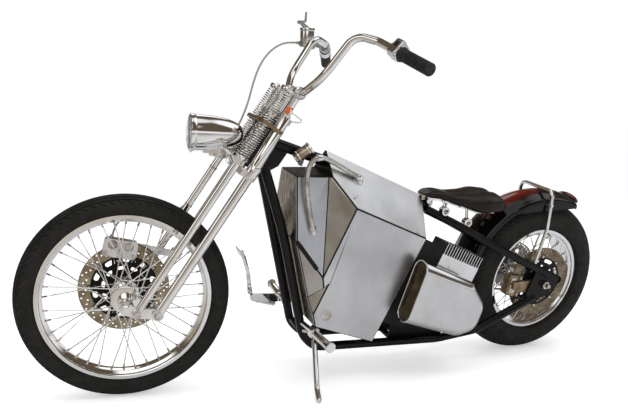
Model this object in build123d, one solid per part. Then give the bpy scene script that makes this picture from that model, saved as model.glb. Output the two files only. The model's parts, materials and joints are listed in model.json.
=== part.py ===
from build123d import *
import math
import os

# Rigid-frame chopper motorcycle with an electric drive, parked on its side stand.
# Everything is drawn upright in the "bike frame" (millimetres): x forward from the
# rear axle, y to the rider's left, z up from the road.  Steered pieces are turned
# about the steering axis, and then the whole machine leans onto its side stand.

# ------------------------------------------------------------ driving dimensions
WHEELBASE = 1660.0
RAKE = 31.0
TRAIL = 110.0
LEAN = 9.5
STEER_RIGHT = 8.5

FRONT_TYRE_RADIUS = 344.0
FRONT_TYRE_WIDTH = 92.0
FRONT_RIM_RADIUS = 281.0
FRONT_RIM_WIDTH = 60.0
REAR_TYRE_RADIUS = 327.0
REAR_TYRE_WIDTH = 160.0
REAR_RIM_RADIUS = 216.0
REAR_RIM_WIDTH = 126.0
SPOKES = 40
SPOKE_DIAMETER = 4.0

FORK_HALF_WIDTH = 128.0
REAR_LEG_OFFSET = -10.0
FRONT_LEG_OFFSET = 48.0
REAR_LEG_FOOT = 385.0
FRONT_LEG_FOOT = 356.0
LOWER_CROWN = 925.0
UPPER_CROWN = 1122.0
SPRING_PERCH = 1080.0
SPRING_TOP = 1208.0

FRAME_TUBE = 34.0
BACKBONE_TUBE = 38.0
CRADLE_HALF_WIDTH = 60.0
STAY_HALF_WIDTH = 112.0

CASE_HALF_WIDTH = 150.0
PANEL_THICKNESS = 2.5
SHUT_LINE = 2.5

# ------------------------------------------------------------------- small tools
Y_AXIS = Vector(0, 1, 0)


def rod(start, end, radius, bore=0.0):
    """A straight round bar, or a tube when bore is given, between two points."""
    start, end = Vector(*start), Vector(*end)
    along = end - start
    shape = extrude(Plane(start, z_dir=along) * Circle(radius), along.length)
    if bore:
        shape -= extrude(Plane(start, z_dir=along) * Circle(bore), along.length)
    return shape


def bent_tube(points, radius, bend):
    """A round tube of straight runs joined by tangent arcs; bend is one radius or one a corner."""
    path = FilletPolyline(*points, radius=bend)
    return sweep(Plane(path @ 0, z_dir=path % 0) * Circle(radius), path=path)


def plate(outline, y_from, y_to):
    """A flat plate drawn by its x, z corners, between two values of y."""
    low, high = sorted((y_from, y_to))
    face = make_face(Polyline(*[(x, low, z) for x, z in outline], close=True))
    return extrude(face, high - low, dir=(0, 1, 0))


def both_sides(shape):
    """The left piece and its mirror image on the right."""
    return [shape, mirror(shape, Plane.XZ)]


def joined(pieces):
    result = pieces[0]
    for piece in pieces[1:]:
        result = result + piece
    return result


def without(shape, others):
    """The shape cut back where it meets its neighbours."""
    for other in others:
        shape -= other
    return shape


def axle_wise(shape):
    """Turns a wheel part drawn about z so that its axle lies along y."""
    return Rot(-90, 0, 0) * shape


# ------------------------------------------------------------------ steering axis
AXIS_FOOT = Vector(WHEELBASE + TRAIL, 0, 0)
AXIS_UP = Vector(-math.sin(math.radians(RAKE)), 0, math.cos(math.radians(RAKE)))
AXIS_AHEAD = Vector(math.cos(math.radians(RAKE)), 0, math.sin(math.radians(RAKE)))
STEERING_AXIS = Axis(AXIS_FOOT, AXIS_UP)


def fork_point(up, ahead, y=0.0):
    """A point of the fork by its distance up the steering axis and ahead of it."""
    return AXIS_FOOT + AXIS_UP * up + AXIS_AHEAD * ahead + Y_AXIS * y


def fork_block(up, ahead, y, height, depth, width):
    """A block square to the steering axis, centred on a fork point."""
    where = Plane(fork_point(up, ahead, y), x_dir=AXIS_AHEAD, z_dir=AXIS_UP)
    return where * Box(depth, width, height)


# ------------------------------------------------------------------------ stance
FRONT_AXLE = Vector(WHEELBASE, 0, FRONT_TYRE_RADIUS)
REAR_AXLE = Vector(0, 0, REAR_TYRE_RADIUS)


def steered_vector(vector, point=True):
    """A point, or a direction, turned with the fork."""
    pivot = AXIS_FOOT if point else Vector(0, 0, 0)
    return (Vector(*vector) - pivot).rotate(Axis((0, 0, 0), AXIS_UP), -STEER_RIGHT) + pivot


def leaned(vector):
    return vector.rotate(Axis.X, -LEAN)


def tyre_bottom(centre, axle, radius, width):
    """Height of the lowest point of a tyre, a ring with a round section."""
    ring = radius - width / 2
    return centre.Z - ring * math.sqrt(1 - axle.Z ** 2) - width / 2


rear_bottom = tyre_bottom(Vector(0, 0, 0), leaned(Y_AXIS), REAR_TYRE_RADIUS, REAR_TYRE_WIDTH)
front_centre = leaned(steered_vector(FRONT_AXLE) - REAR_AXLE)
front_bottom = tyre_bottom(front_centre, leaned(steered_vector(Y_AXIS, False)),
                           FRONT_TYRE_RADIUS, FRONT_TYRE_WIDTH)
PITCH = math.degrees(math.atan2(front_bottom - rear_bottom, WHEELBASE))
STANCE = Pos(0, 0, -rear_bottom) * Rot(0, PITCH, 0) * Rot(-LEAN, 0, 0) * Pos(0, 0, -REAR_AXLE.Z)


# ------------------------------------------------------------------------ wheels
def tyre(radius, width, rim_radius, rim_width):
    """A round-crowned tyre whose beads stand on the rim's seats."""
    half, seat, lip = width / 2, rim_radius - 11, rim_width / 2 - 3
    ring = radius - half
    shoulder = rim_radius + 6
    wide = math.sqrt(half ** 2 - (shoulder - ring) ** 2)
    crown = ThreePointArc((shoulder, 0, -wide), (radius, 0, 0), (shoulder, 0, wide))
    section = Polyline((shoulder, 0, wide), (rim_radius + 1.5, 0, lip), (seat, 0, lip),
                       (seat, 0, lip - 8), (seat + 3, 0, lip - 9), (seat + 3, 0, 9 - lip),
                       (seat, 0, 8 - lip), (seat, 0, -lip), (rim_radius + 1.5, 0, -lip), (shoulder, 0, -wide))
    return revolve(make_face([crown, section]), Axis.Z)


def rim(radius, width):
    """A drop-centre rim with rolled edges."""
    lip = width / 2
    top = [(radius, lip), (radius, lip - 3), (radius - 11, lip - 3), (radius - 11, lip - 12),
           (radius - 21, lip - 17)]
    under = [(radius - 25, lip - 16), (radius - 15, lip - 8), (radius - 14, lip)]
    outline = top + [(r, -z) for r, z in reversed(top)] + [(r, -z) for r, z in reversed(under)] + under
    return revolve(make_face(Polyline(*[(r, 0, z) for r, z in outline], close=True)), Axis.Z)


def spokes(hub_radius, flange, rim_radius, splay):
    """Crossed wire spokes: each flange carries half, heads alternately in and out."""
    wires = []
    for index in range(SPOKES):
        side = 1 if index % 2 else -1
        trailing = 1 if index % 4 < 2 else -1
        rim_angle = math.radians(360 / SPOKES * index)
        hub_angle = rim_angle + trailing * math.radians(54)
        head = flange + trailing * 3.0
        inner = (hub_radius * math.cos(hub_angle), hub_radius * math.sin(hub_angle), side * head)
        outer = (rim_radius * math.cos(rim_angle), rim_radius * math.sin(rim_angle), side * splay)
        along = Vector(*outer) - Vector(*inner)
        section = Plane(Vector(*inner), z_dir=along) * RegularPolygon(SPOKE_DIAMETER / 2, 6)
        wires.append(extrude(section, along.length))
    return wires


def wire_wheel(rim_radius, rim_width, flange, hub_half, hub_radius, bore, splay):
    """Rim, hub and spokes joined as one rigid piece."""
    flange_radius = hub_radius + 22
    hub = [(bore, -hub_half), (hub_radius, -hub_half), (hub_radius, -flange - 5),
           (flange_radius, -flange - 5), (flange_radius, 5 - flange), (hub_radius, 14 - flange),
           (hub_radius, flange - 14), (flange_radius, flange - 5), (flange_radius, flange + 5),
           (hub_radius, flange + 5), (hub_radius, hub_half), (bore, hub_half)]
    body = revolve(make_face(Polyline(*[(r, 0, z) for r, z in hub], close=True)), Axis.Z)
    wires = spokes(flange_radius - 5, flange, rim_radius - 22, splay)
    return body.fuse(rim(rim_radius, rim_width), *wires)


def brake_rotor(outer, inner, carrier, bore, thickness, arms):
    """A braking ring on a carrier with open windows between its arms."""
    disc = extrude(Circle(outer) - Circle(bore), thickness / 2, both=True)
    window_outer = extrude(Circle(inner) - Circle(carrier), thickness, both=True)
    arm = Pos((inner + carrier) / 2, 0, 0) * Box(inner - carrier + 10, 16, thickness * 2)
    for index in range(arms):
        window_outer -= Rot(0, 0, 360 / arms * index) * arm
    return disc - window_outer


FRONT_HUB_HALF = 88.0
REAR_HUB_HALF = 80.0
AXLE_RADIUS = 10.0
AXLE_BORE = 10.5
FRONT_ROTOR_Y = -96.0
REAR_ROTOR_Y = 85.5
FRONT_ROTOR = 152.0
REAR_ROTOR = 146.0
SPROCKET_Y = -90.0
SPROCKET_RADIUS = 104.0


def front_wheel():
    at = Pos(FRONT_AXLE)
    wheel = wire_wheel(FRONT_RIM_RADIUS, FRONT_RIM_WIDTH, 34, FRONT_HUB_HALF, 24, AXLE_BORE, 7)
    boss = extrude(Circle(40) - Circle(AXLE_BORE), 12)
    rotor = brake_rotor(FRONT_ROTOR, 118, 52, 20, 5, 6)
    return {
        "front_tyre": at * axle_wise(tyre(FRONT_TYRE_RADIUS, FRONT_TYRE_WIDTH, FRONT_RIM_RADIUS,
                                          FRONT_RIM_WIDTH)),
        "front_wire_wheel": at * axle_wise(wheel + Pos(0, 0, FRONT_ROTOR_Y + 2.5) * boss),
        "front_brake_rotor": at * axle_wise(Pos(0, 0, FRONT_ROTOR_Y) * rotor),
    }


def rear_wheel():
    at = Pos(REAR_AXLE)
    wheel = wire_wheel(REAR_RIM_RADIUS, REAR_RIM_WIDTH, 42, REAR_HUB_HALF, 30, AXLE_BORE, 18)
    rotor = brake_rotor(REAR_ROTOR, 106, 48, 20, 5, 5)
    boss = extrude(Circle(44) - Circle(AXLE_BORE), 14)
    sprocket = brake_rotor(SPROCKET_RADIUS, 84, 52, 20, 8, 6)
    wheel += Pos(0, 0, REAR_ROTOR_Y - 2.5 - 14) * boss
    wheel += Pos(0, 0, SPROCKET_Y + 4) * boss
    return {
        "rear_tyre": at * axle_wise(tyre(REAR_TYRE_RADIUS, REAR_TYRE_WIDTH, REAR_RIM_RADIUS,
                                         REAR_RIM_WIDTH)),
        "rear_wire_wheel": at * axle_wise(wheel),
        "rear_brake_rotor": at * axle_wise(Pos(0, 0, REAR_ROTOR_Y) * rotor),
        "rear_sprocket": at * axle_wise(Pos(0, 0, SPROCKET_Y) * sprocket),
    }


# -------------------------------------------------------------------------- fork
LEG_FOOT = fork_point(REAR_LEG_FOOT, REAR_LEG_OFFSET)
SPRUNG_FOOT = fork_point(FRONT_LEG_FOOT, FRONT_LEG_OFFSET)


def slab(hubs, thickness, y):
    """A flat link: round ends about the given x, z, radius hubs, joined by straight sides."""
    ends = [Pos(x, y, z) * Rot(90, 0, 0) * Cylinder(radius, thickness) for x, z, radius in hubs]
    for (x1, z1, r1), (x2, z2, r2) in zip(hubs, hubs[1:]):
        along = Vector(x2 - x1, 0, z2 - z1)
        side = along.cross(Y_AXIS).normalized()
        corners = [Vector(x1, 0, z1) + side * r1, Vector(x2, 0, z2) + side * r2,
                   Vector(x2, 0, z2) - side * r2, Vector(x1, 0, z1) - side * r1]
        ends.append(plate([(c.X, c.Z) for c in corners], y - thickness / 2, y + thickness / 2))
    return joined(ends)


def rockers():
    """Links from the rigid legs' feet, past the sprung legs' feet, to the axle."""
    hubs = [(LEG_FOOT.X, LEG_FOOT.Z, 17), (SPRUNG_FOOT.X, SPRUNG_FOOT.Z, 15),
            (FRONT_AXLE.X, FRONT_AXLE.Z, 20)]
    link = slab(hubs, 12, FORK_HALF_WIDTH)
    link -= Pos(FRONT_AXLE.X, FORK_HALF_WIDTH, FRONT_AXLE.Z) * Rot(90, 0, 0) * Cylinder(AXLE_RADIUS, 40)
    return both_sides(link)


def front_axle():
    """The axle with its collars beside the hub and its end nuts."""
    reach = FORK_HALF_WIDTH + 20
    turned = [Cylinder(AXLE_RADIUS, 2 * reach)]
    for side in (-1, 1):
        collar_from = FRONT_HUB_HALF + 0.6 if side > 0 else -FRONT_ROTOR_Y + 3.1
        length = FORK_HALF_WIDTH - 6 - collar_from
        turned.append(Pos(0, 0, side * (collar_from + length / 2)) * Cylinder(15, length))
        nut = extrude(RegularPolygon(16, 6), 12)
        turned.append(Pos(0, 0, side * (FORK_HALF_WIDTH + 12)) * Pos(0, 0, -6) * nut)
    return Pos(FRONT_AXLE) * axle_wise(joined(turned))


def rigid_leg():
    """Left rear leg: a plain tube up to the lower crown's clamp, stouter above it."""
    y = FORK_HALF_WIDTH
    foot = Pos(LEG_FOOT.X, y, LEG_FOOT.Z) * Rot(90, 0, 0) * Cylinder(20, 30)
    shank = rod(fork_point(REAR_LEG_FOOT, REAR_LEG_OFFSET, y), fork_point(LOWER_CROWN, REAR_LEG_OFFSET, y), 16)
    knuckle = rod(fork_point(LOWER_CROWN - 20, REAR_LEG_OFFSET, y),
                  fork_point(LOWER_CROWN + 22, REAR_LEG_OFFSET, y), 22)
    low = fork_point(LOWER_CROWN, REAR_LEG_OFFSET, y)
    high = fork_point(UPPER_CROWN + 9, REAR_LEG_OFFSET, y - UPPER_LEG_TOE_IN)
    stout = rod(low, high, 19)
    stud = rod(high, high + (high - low).normalized() * 16, 9)
    return foot + shank + knuckle + stout + stud


def sprung_leg():
    """Left front leg, from the rocker up to its eye in the yoke."""
    y = FORK_HALF_WIDTH
    top = LOWER_CROWN + 19
    shank = rod(fork_point(FRONT_LEG_FOOT, FRONT_LEG_OFFSET, y), fork_point(top, FRONT_LEG_OFFSET, y), 12.5)
    cap = rod(fork_point(top, FRONT_LEG_OFFSET, y), fork_point(top + 8, FRONT_LEG_OFFSET, y), 17)
    return shank + cap


UPPER_LEG_TOE_IN = 30.0
SPRING_RADIUS = 22.0
SPRING_BORE = 14.0
SPRING_Y = 75.0
SPRING_OFFSET = 30.0
PUSH_ROD_RADIUS = 6.0
YOKE_TOP = LOWER_CROWN + 15


def springs():
    """Main springs below the perch and rebound springs above it, one pair a side."""
    spans = [(YOKE_TOP + 8, SPRING_PERCH - 6), (SPRING_PERCH + 6, SPRING_TOP - 6)]
    coils = []
    for low, high in spans:
        for side in (-1, 1):
            y = side * SPRING_Y
            coils.append(rod(fork_point(low, SPRING_OFFSET, y), fork_point(high, SPRING_OFFSET, y),
                             SPRING_RADIUS, SPRING_BORE))
    return coils


def lower_crown(legs):
    """The forging across the rigid legs below the head tube."""
    bar = fork_block(LOWER_CROWN - 14, REAR_LEG_OFFSET + 8, 0, 24, 52, 2 * FORK_HALF_WIDTH + 30)
    hub = rod(fork_point(LOWER_CROWN - 26, 0), fork_point(LOWER_CROWN - 2, 0), 34)
    crown = bar + hub
    for leg in legs:
        crown -= leg
    return crown


def upper_crown(legs):
    """The plate across the rigid legs above the head tube, drilled for the stem."""
    width = 2 * (FORK_HALF_WIDTH - UPPER_LEG_TOE_IN) + 34
    crown = fork_block(UPPER_CROWN, REAR_LEG_OFFSET, 0, 18, 40, width)
    crown += rod(fork_point(UPPER_CROWN - 9, 0), fork_point(UPPER_CROWN + 9, 0), 30)
    crown -= rod(fork_point(UPPER_CROWN - 20, 0), fork_point(UPPER_CROWN + 20, 0), 13)
    for side in (-1, 1):
        crown -= rod(fork_point(UPPER_CROWN - 20, SPRING_OFFSET, side * SPRING_Y),
                     fork_point(UPPER_CROWN + 20, SPRING_OFFSET, side * SPRING_Y), SPRING_RADIUS + 1.5)
    for leg in legs:
        crown -= leg
    return crown


def steering_stem():
    """The stem through the head tube, with its lock nut on the upper crown."""
    shaft = rod(fork_point(LOWER_CROWN - 2, 0), fork_point(UPPER_CROWN + 22, 0), 13)
    nut = extrude(Plane(fork_point(UPPER_CROWN + 9, 0), z_dir=AXIS_UP) * RegularPolygon(22, 6), 14)
    return shaft + nut


def spring_perch(legs):
    """The bracket from the rigid legs, round the head tube, that the springs push against."""
    pieces = [fork_block(SPRING_PERCH, 50, 0, 12, 24, 130)]
    for side in (-1, 1):
        pieces.append(fork_block(SPRING_PERCH, 14, side * 90, 12, 76, 74))
        pieces.append(rod(fork_point(SPRING_PERCH - 6, SPRING_OFFSET, side * SPRING_Y),
                          fork_point(SPRING_PERCH + 6, SPRING_OFFSET, side * SPRING_Y), 25))
    perch = joined(pieces)
    for side in (-1, 1):
        perch -= rod(fork_point(SPRING_PERCH - 10, SPRING_OFFSET, side * SPRING_Y),
                     fork_point(SPRING_PERCH + 10, SPRING_OFFSET, side * SPRING_Y), PUSH_ROD_RADIUS + 1)
    return without(perch, legs)


def front_yoke(neighbours):
    """The bar across the sprung legs, with the push rods that run up through the springs."""
    pieces = [fork_block(LOWER_CROWN + 6, FRONT_LEG_OFFSET + 7, 0, 18, 22, 2 * FORK_HALF_WIDTH + 36)]
    for side in (-1, 1):
        y = side * SPRING_Y
        pieces.append(fork_block(LOWER_CROWN + 6, SPRING_OFFSET + 8, y, 18, 40, 44))
        for low, high, radius in ((YOKE_TOP, YOKE_TOP + 8, 23), (YOKE_TOP, SPRING_TOP + 14, PUSH_ROD_RADIUS),
                                  (SPRING_TOP - 6, SPRING_TOP + 6, 20)):
            pieces.append(rod(fork_point(low, SPRING_OFFSET, y), fork_point(high, SPRING_OFFSET, y), radius))
    return without(joined(pieces), neighbours)


HEADLIGHT_FRONT = 1470.0
HEADLIGHT_HEIGHT = 894.0
HEADLIGHT_RADIUS = 61.0
HEADLIGHT_LENGTH = 176.0
HEADLIGHT_AT = Pos(HEADLIGHT_FRONT, 0, HEADLIGHT_HEIGHT) * Rot(0, 90, 0)


def headlight_form():
    """The bullet shape of the headlight, closed, drawn about its own axis."""
    radius, length = HEADLIGHT_RADIUS, HEADLIGHT_LENGTH
    outside = [Line((radius, 0, 0), (radius, 0, -18)), Line((radius, 0, -18), (radius - 3, 0, -18)),
               ThreePointArc((radius - 3, 0, -18), (44, 0, -103), (4, 0, -length)),
               Polyline((4, 0, -length), (0.01, 0, -length), (0.01, 0, 0), (radius, 0, 0))]
    return revolve(make_face(outside), Axis.Z)


def headlight_shell():
    """A bullet shell, hollow behind its lens, with a rolled rim round its mouth."""
    radius, length, sheet = HEADLIGHT_RADIUS, HEADLIGHT_LENGTH, 3.0
    outside = [Line((radius, 0, 0), (radius, 0, -18)), Line((radius, 0, -18), (radius - 3, 0, -18)),
               ThreePointArc((radius - 3, 0, -18), (44, 0, -103), (4, 0, -length)),
               Line((4, 0, -length), (4, 0, -length + 8))]
    inside = [ThreePointArc((4, 0, -length + 8), (44 - sheet, 0, -101), (radius - 3 - sheet, 0, -18)),
              Line((radius - 3 - sheet, 0, -18), (radius - 5, 0, 0)), Line((radius - 5, 0, 0), (radius, 0, 0))]
    tail = Pos(0, 0, -length + 4) * Cylinder(4.2, 8)
    return HEADLIGHT_AT * (revolve(make_face(outside + inside), Axis.Z) + tail)


def headlight_bracket(yoke):
    """The pad and web that carry the headlight on the front yoke."""
    web = plate([(1338, 834), (1345, 812), (1392, 818), (1420, 842), (1416, 870), (1352, 870)], -7, 7)
    pad = Pos(1394, 0, 842) * Box(60, 34, 24)
    return joined([pad, web]) - HEADLIGHT_AT * headlight_form() - yoke


def headlight_lens():
    """The domed glass in the mouth of the shell."""
    radius = HEADLIGHT_RADIUS - 4
    disc = Pos(0, 0, -3) * Cylinder(radius, 6)
    dome = Pos(0, 0, -150) * Sphere(160) & Pos(0, 0, 8) * Cylinder(radius, 16)
    return HEADLIGHT_AT * (disc + dome)


BAR_RADIUS = 12.7
BAR_CENTRE = (1129.0, 0.0, 1041.0)
BAR_BASE = (1129.0, 92.0, 1041.0)
BAR_KNEE = (1095.6, 184.3, 1094.9)
BAR_SHOULDER = (1009.1, 217.0, 1231.7)
BAR_ELBOW = (953.8, 273.3, 1216.0)
BAR_TIP = (875.5, 483.0, 1143.5)
BAR_BENDS = [60.0, 110.0, 52.0, 60.0]
GRIP_LENGTH = 128.0
GRIP_RADIUS = 19.5


def mirrored(point):
    return (point[0], -point[1], point[2])


def along_grip(distance, side):
    """A point on the straight end of the bar, measured in from its tip."""
    tip, elbow = Vector(*BAR_TIP), Vector(*BAR_ELBOW)
    place = tip + (elbow - tip).normalized() * distance
    return Vector(place.X, side * place.Y, place.Z)


def handlebar():
    left = [BAR_BASE, BAR_KNEE, BAR_SHOULDER, BAR_ELBOW, tuple(along_grip(4, 1))]
    right = [mirrored(point) for point in reversed(left)]
    return bent_tube(right + left, BAR_RADIUS, BAR_BENDS[::-1] + BAR_BENDS)


def risers():
    """Two posts on the upper crown, each with a split clamp around the bar."""
    bar_height = (Vector(*BAR_CENTRE) - AXIS_FOOT).dot(AXIS_UP)
    bar_ahead = (Vector(*BAR_CENTRE) - AXIS_FOOT).dot(AXIS_AHEAD)
    posts = []
    for side in (-1, 1):
        y = side * 56
        post = rod(fork_point(UPPER_CROWN + 9, bar_ahead, y), fork_point(bar_height, bar_ahead, y), 14)
        clamp = rod(fork_point(bar_height, bar_ahead, y - 17), fork_point(bar_height, bar_ahead, y + 17), 21)
        bore = rod(fork_point(bar_height, bar_ahead, y - 20), fork_point(bar_height, bar_ahead, y + 20), BAR_RADIUS)
        posts.append(post + clamp - bore)
    return posts


def sleeve(start, stop, radius, side, bore=BAR_RADIUS):
    return rod(along_grip(start, side), along_grip(stop, side), radius, bore)


def grips():
    """Ribbed rubber grips closed at the tips of the bar."""
    pieces = []
    for side in (-1, 1):
        grip = sleeve(3.9, GRIP_LENGTH, GRIP_RADIUS, side)
        grip += rod(along_grip(0, side), along_grip(4, side), GRIP_RADIUS)
        grip += sleeve(GRIP_LENGTH - 5, GRIP_LENGTH, GRIP_RADIUS + 3, side)
        pieces.append(grip)
    return pieces


def beside_bar(distance, side):
    """A plane square to the straight end of the bar, its x pointing forward."""
    along = along_grip(distance + 1, side) - along_grip(distance, side)
    return Plane(along_grip(distance, side), x_dir=(1, 0, along.X / -along.Z), z_dir=along)


def switch_housings():
    """A two-part housing inboard of each grip; the left one has a lobe for its switches."""
    pieces = []
    for side in (-1, 1):
        body = sleeve(GRIP_LENGTH + 2, GRIP_LENGTH + 42, 22, side)
        middle = beside_bar(GRIP_LENGTH + 22, side)
        if side > 0:
            block = middle * Pos(-6, 0, 0) * Box(52, 46, 36)
            lobe = middle * Pos(-14, 24, 2) * Box(34, 26, 30)
            shape = fillet(block.edges(), 7) + fillet(lobe.edges(), 6)
            shape -= rod(along_grip(GRIP_LENGTH, side), along_grip(GRIP_LENGTH + 50, side), BAR_RADIUS)
            body += shape
        pieces.append(body)
    return pieces


MASTER_Y = -312.0


def brake_master():
    """Front brake reservoir, body and pivot bracket on the right bar, inboard of the housing."""
    clamp = sleeve(GRIP_LENGTH + 54, GRIP_LENGTH + 78, 20, -1)
    seat_of_clamp = along_grip(GRIP_LENGTH + 66, -1)
    neck = rod(seat_of_clamp + Vector(8, 0, 2), (1004, MASTER_Y, 1218), 11)
    body = rod((1036, MASTER_Y + 8, 1210), (978, MASTER_Y - 18, 1204), 12)
    reservoir = rod((1010, MASTER_Y, 1204), (1012, MASTER_Y, 1268), 26)
    rim = rod((1011.7, MASTER_Y, 1258), (1012, MASTER_Y, 1268), 28)
    bracket = slab([(1014, 1262, 9), (1046, 1286, 7)], 12, MASTER_Y)
    whole = joined([clamp, neck, body, reservoir, rim, bracket])
    return whole - rod(along_grip(0, -1), along_grip(GRIP_LENGTH + 120, -1), BAR_RADIUS)


def brake_lever():
    """The front brake lever, a slim blade turned up from its pivot."""
    path = [(1044, MASTER_Y, 1286), (1014, MASTER_Y - 26, 1292), (992, MASTER_Y - 104, 1330)]
    return bent_tube(path, 5, 34)


def turn_signals():
    """Small round indicators on the studs above the crown, each held by a bent wire."""
    pieces = []
    for side in (-1, 1):
        lamp = rod((1182, side * 118, 990), (1166, side * 112, 982), 14)
        neck = rod((1174, side * 115, 986), fork_point(UPPER_CROWN + 17, REAR_LEG_OFFSET, side * 97), 5)
        wire = bent_tube([(1168, side * 112, 984), (1116, side * 110, 950), (1160, side * 106, 951)], 2.2, 6)
        pieces.append(lamp + neck + wire)
    return pieces


def front_caliper():
    """Caliper straddling the top of the front rotor, on a link to the rigid leg."""
    body = Pos(1676, FRONT_ROTOR_Y, 482) * Rot(0, -10, 0) * Box(112, 36, 62)
    body = fillet(body.edges().filter_by(Axis.Y), 12)
    slot = Pos(FRONT_AXLE.X, FRONT_ROTOR_Y, FRONT_AXLE.Z) * Rot(90, 0, 0) * Cylinder(FRONT_ROTOR + 6, 17)
    return body - slot


def caliper_link(caliper):
    """Torque arm from the caliper back to a clamp on the right rigid leg."""
    y = -FORK_HALF_WIDTH
    leg = fork_point(536, REAR_LEG_OFFSET, y)
    arm = slab([(leg.X, leg.Z, 12), (1632, 486, 12)], 6, FRONT_ROTOR_Y - 14)
    clamp = rod(fork_point(524, REAR_LEG_OFFSET, y), fork_point(548, REAR_LEG_OFFSET, y), 22, 16)
    return arm - rod(fork_point(500, REAR_LEG_OFFSET, y), fork_point(570, REAR_LEG_OFFSET, y), 16) + clamp - caliper


# ------------------------------------------------------------------------- frame
HEAD_TUBE_RADIUS = 30.0
HEAD_LOW = LOWER_CROWN + 4
HEAD_HIGH = UPPER_CROWN - 12
RAIL_HEIGHT = 112.0
AXLE_PLATE_THICKNESS = 8.0
AXLE_STUB_RADIUS = 8.0
AXLE_STUB_FROM = STAY_HALF_WIDTH + 6 + AXLE_PLATE_THICKNESS / 2 + 14
AXLE_STUB_TO = AXLE_STUB_FROM + 16


def steering_neck():
    """Head tube with flared ends and the gusset behind it."""
    tube = rod(fork_point(HEAD_LOW, 0), fork_point(HEAD_HIGH, 0), HEAD_TUBE_RADIUS)
    for low in (HEAD_LOW, HEAD_HIGH - 14):
        tube += rod(fork_point(low, 0), fork_point(low + 14, 0), HEAD_TUBE_RADIUS + 4)
    gusset = plate([(1252, 820), (1180, 862), (1130, 846), (1165, 790), (1212, 764), (1262, 800)], -6, 6)
    return tube + gusset - rod(fork_point(HEAD_LOW - 5, 0), fork_point(HEAD_HIGH + 5, 0), 17)


HEAD_TUBE_SPACE = rod(fork_point(HEAD_LOW - 30, 0), fork_point(HEAD_HIGH + 30, 0), HEAD_TUBE_RADIUS)
BACKBONE = [(1240.0, 0.0, 886.0), (973.0, 0.0, 803.0), (548.0, 0.0, 635.0)]


def backbone_tube():
    """The single top tube from the neck to the seat."""
    tube = bent_tube(BACKBONE, BACKBONE_TUBE / 2, 700)
    return tube - HEAD_TUBE_SPACE - steering_neck()


def downtube():
    """Left front cradle tube."""
    path = [(1228.0, 16.0, 812.0), (1146.0, 58.0, 565.0), (1058.0, CRADLE_HALF_WIDTH, 252.0)]
    return bent_tube(path, FRAME_TUBE / 2, 900) - HEAD_TUBE_SPACE


def bottom_rail():
    """Left lower rail, which carries on round the tyre to the axle plate."""
    path = [(1058.0, CRADLE_HALF_WIDTH, 252.0), (1037.0, CRADLE_HALF_WIDTH, 176.0),
            (985.0, CRADLE_HALF_WIDTH + 1, 122.0), (727.0, 62.0, RAIL_HEIGHT), (450.0, 66.0, 103.0),
            (300.0, STAY_HALF_WIDTH, 150.0), (40.0, STAY_HALF_WIDTH + 6, 272.0)]
    return bent_tube(path, FRAME_TUBE / 2 - 1, 90)


def upper_stay():
    """Left upper stay from the end of the backbone down to the axle plate."""
    path = [(560.0, 24.0, 630.0), (450.0, 85.0, 584.0), (247.0, STAY_HALF_WIDTH, 485.0),
            (-62.0, STAY_HALF_WIDTH + 6, 347.0)]
    return bent_tube(path, FRAME_TUBE / 2 - 1, 220)


def axle_plate(tubes):
    """Left axle plate welded between the upper stay and the lower rail."""
    y = STAY_HALF_WIDTH + 6
    outline = [(-78, 338), (-70, 312), (-20, 292), (30, 262), (70, 258), (84, 292), (48, 396), (6, 380)]
    shape = plate(outline, y - AXLE_PLATE_THICKNESS / 2, y + AXLE_PLATE_THICKNESS / 2)
    shape -= Pos(0, y, REAR_AXLE.Z) * Rot(90, 0, 0) * Cylinder(AXLE_RADIUS, 40)
    for tube in tubes:
        shape -= tube
    return shape


def cross_tubes(carriers):
    """Tubes across the frame: at the front of the cradle, under the motor and under the seat."""
    spans = [((1040, 192), 72), ((640, 110), 72), ((430, 104), 76), ((452, 584), 92), ((352, 536), 110)]
    tubes = []
    for (x, z), half in spans:
        tube = rod((x, -half, z), (x, half, z), 12)
        for carrier in carriers:
            tube -= carrier
        tubes += tube.solids()
    keep = [tube for tube in tubes if abs(tube.center().Y) < 20]
    return keep


def rear_axle():
    """Axle, spacers between hub and plates, end nuts, and the thinner stubs beyond them."""
    y = STAY_HALF_WIDTH + 6
    turned = [Cylinder(AXLE_RADIUS, 2 * AXLE_STUB_FROM), Cylinder(AXLE_STUB_RADIUS, 2 * AXLE_STUB_TO)]
    for side in (-1, 1):
        inner = REAR_HUB_HALF + 0.6 if side > 0 else REAR_HUB_HALF + 14.6
        inner = max(inner, (REAR_ROTOR_Y + 3.2) if side > 0 else (-SPROCKET_Y + 4.6))
        length = y - AXLE_PLATE_THICKNESS / 2 - inner
        turned.append(Pos(0, 0, side * (inner + length / 2)) * Cylinder(16, length))
        nut = extrude(RegularPolygon(17, 6), 14)
        turned.append(Pos(0, 0, side * (y + AXLE_PLATE_THICKNESS / 2 + 7) - 7) * nut)
    return Pos(REAR_AXLE) * axle_wise(joined(turned))


# ------------------------------------------------------------------ battery case
CASE_RIDGE = 396.0
CASE_FOLD = 286.0
CASE_SLOPE = 21.8


def up_slope(x, z):
    """Distance of a side-view point above the line that the case's folds run along."""
    angle = math.radians(CASE_SLOPE)
    return z * math.cos(angle) - x * math.sin(angle)


def on_slope(height, x):
    """The z of a point at x on the sloping line of this height."""
    angle = math.radians(CASE_SLOPE)
    return (height + x * math.sin(angle)) / math.cos(angle)


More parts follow.
